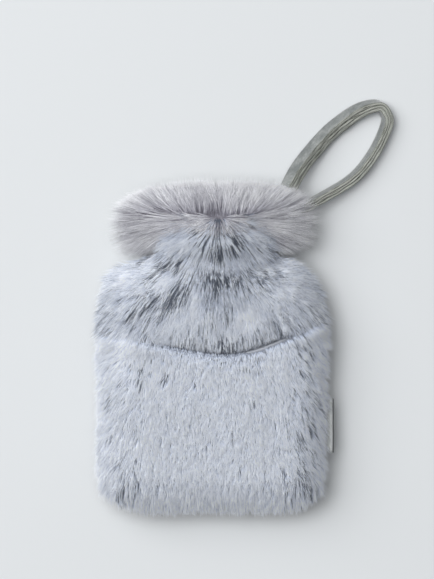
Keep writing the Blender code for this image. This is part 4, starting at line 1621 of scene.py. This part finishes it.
@dataclass(frozen=True)
class SideTab:
    """A blank ribbon, folded over and sewn into the right side seam."""

    from_y: float = -76.4
    to_y: float = -37.6
    inner_x: float = 73.5
    fold_x: float = 86.4
    z: float = 19.0
    half_gap: float = 0.45
    thick: float = 0.35
    rows: int = 26
    straight: float = 0.42       # share of the section that is straight, on each side of the fold
    ribbon: RibbonFinish = RibbonFinish()

    def build(self) -> bpy.types.Object:
        """The ribbon: a hairpin section, with a slight wave, carried along the seam."""
        _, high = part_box("side_tab")
        share = np.linspace(0.0, 1.0, 22)
        turn = np.pi * np.clip((share - self.straight) / 0.16, 0.0, 1.0)
        run = np.where(share < 0.5, share / self.straight, (1.0 - share) / self.straight)
        x = self.inner_x + (self.fold_x - self.inner_x - self.half_gap) * np.clip(run, 0.0, 1.0)
        x = x + self.half_gap * np.sin(turn)
        z = self.z + self.half_gap * np.cos(turn)
        tangent = unit(np.gradient(np.stack([x, z], -1), axis=0))
        out = np.stack([-tangent[:, 1], tangent[:, 0]], -1) * self.thick / 2
        y = np.linspace(self.from_y, self.to_y, self.rows)[:, None]
        wave = 0.35 * np.sin(y / 6.0) + 0.25 * np.sin(y / 2.7 + 1.0)
        nearer = np.clip((x - self.inner_x) / (self.fold_x - self.inner_x), 0.0, 1.0)[None, :]
        sheets = [np.stack(np.broadcast_arrays(x + sign * out[:, 0] + 0.2 * wave * nearer, y,
                                               z + sign * out[:, 1] + wave * nearer), -1)
                  for sign in (1, -1)]
        surface = closed_sheet(sheets[0], sheets[1])
        fold = np.tile(np.where(np.abs(share - 0.5) < 0.1, 1.0, 0.0), 2 * self.rows)
        along = np.tile(np.repeat(np.linspace(0.02, 0.98, self.rows), len(share)), 2)
        across = np.concatenate([np.tile(first + 0.46 * share, self.rows) for first in (0.02, 0.52)])
        surface.place = np.column_stack([across, along])
        surface.values = {"fold": fold}
        tab = surface.piece("ribbon_tab", self.ribbon.material(), Slot.RIBBON)
        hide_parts("side_tab")
        LOG.info("the tab's node ends at x %.1f mm", high.x / MM)
        return tab


# ---------------------------------------------------------------- the studio


@dataclass(frozen=True)
class Studio:
    """The floor, the light and the camera, which looks straight down with a long lens."""

    centre_x: float = 2.16
    centre_y: float = 41.2
    plane_z: float = 24.0
    frame_height: float = 416.9
    distance: float = 2000.0
    sensor: float = 36.0
    farthest: float = 20.0       # how far the camera sees, in metres
    floor_size: float = 12.0
    key_turn: float = 148.0      # degrees from +X towards +Y
    key_height: float = 51.0     # degrees above the floor
    key_distance: float = 4.0
    key_size: float = 4.2
    key_power: float = 118.0
    fill_height: float = 78.0
    fill_size: float = 3.4
    fill_power: float = 100.0
    ambient: float = 0.145
    ambient_colour: Colour = (0.97, 0.99, 1.0)
    floor: FloorFinish = FloorFinish()

    def make_camera(self) -> None:
        """The camera: its lens is sensor times distance over the height of the picture."""
        data = bpy.data.cameras.new("camera")
        data.sensor_fit = "VERTICAL" if PHOTO_HEIGHT > PHOTO_WIDTH else "HORIZONTAL"
        data.sensor_height = self.sensor
        data.sensor_width = self.sensor
        data.lens = self.sensor * self.distance / self.frame_height
        data.clip_end = self.farthest
        camera = bpy.data.objects.new("camera", data)
        camera.location = (self.centre_x * MM, self.centre_y * MM, (self.plane_z + self.distance) * MM)
        bpy.context.scene.collection.objects.link(camera)
        bpy.context.scene.camera = camera

    def make_floor(self) -> None:
        """The floor, a flat square."""
        half = self.floor_size / 2
        mesh = bpy.data.meshes.new("floor")
        plan = ((-half, -half), (half, -half), (half, half), (-half, half))
        mesh.from_pydata([(x, y, 0.0) for x, y in plan], [], [(0, 1, 2, 3)])
        mesh.materials.append(self.floor.material())
        floor = bpy.data.objects.new("floor", mesh)
        bpy.context.scene.collection.objects.link(floor)

    def add_lamp(self, name: str, height: float, size: float, power: float) -> None:
        """A round lamp on the key's side, at this height in degrees, that faces the cover.

        Args:
            name: The lamp's name.
            height: Degrees above the floor.
            size: Diameter in metres.
            power: Watts.
        """
        data = bpy.data.lights.new(name, "AREA")
        data.shape = "DISK"
        data.size = size
        data.energy = power
        lamp = bpy.data.objects.new(name, data)
        turn, rise = math.radians(self.key_turn), math.radians(height)
        lamp.location = (self.key_distance * math.cos(rise) * math.cos(turn),
                         self.key_distance * math.cos(rise) * math.sin(turn),
                         self.key_distance * math.sin(rise))
        lamp.rotation_euler = (math.pi / 2 - rise, 0.0, turn + math.pi / 2)
        bpy.context.scene.collection.objects.link(lamp)

    def make_light(self) -> None:
        """Two broad soft lamps, from the upper left and from overhead, and an even pale world."""
        self.add_lamp("key", self.key_height, self.key_size, self.key_power)
        self.add_lamp("fill", self.fill_height, self.fill_size, self.fill_power)
        world = bpy.data.worlds.new("studio")
        world.use_nodes = True
        background = world.node_tree.nodes["Background"]
        background.inputs["Color"].default_value = (*self.ambient_colour, 1.0)
        background.inputs["Strength"].default_value = self.ambient
        bpy.context.scene.world = world
        bpy.context.scene.view_settings.view_transform = "Standard"

    def build(self) -> None:
        """The camera, the floor and the light."""
        self.make_camera()
        self.make_floor()
        self.make_light()


def corners(bounds: tuple) -> list[list[float]]:
    """A box's two corners as plain lists."""
    return [[float(value) for value in corner] for corner in bounds]


def main() -> None:
    logging.basicConfig(level=logging.INFO, format="%(name)s: %(message)s")
    Studio().build()
    HangingLoop().build()
    body = Body()
    pieces = body.build()
    LOG.info("the body has %d pieces", sum(len(made) for made in pieces.values()))
    ruff = Ruff().build(pieces["front_upper"][1].data.materials[0])
    LOG.info("the ruff has %d pieces", len(ruff))
    SideTab().build()


if __name__ == "__main__":
    main()
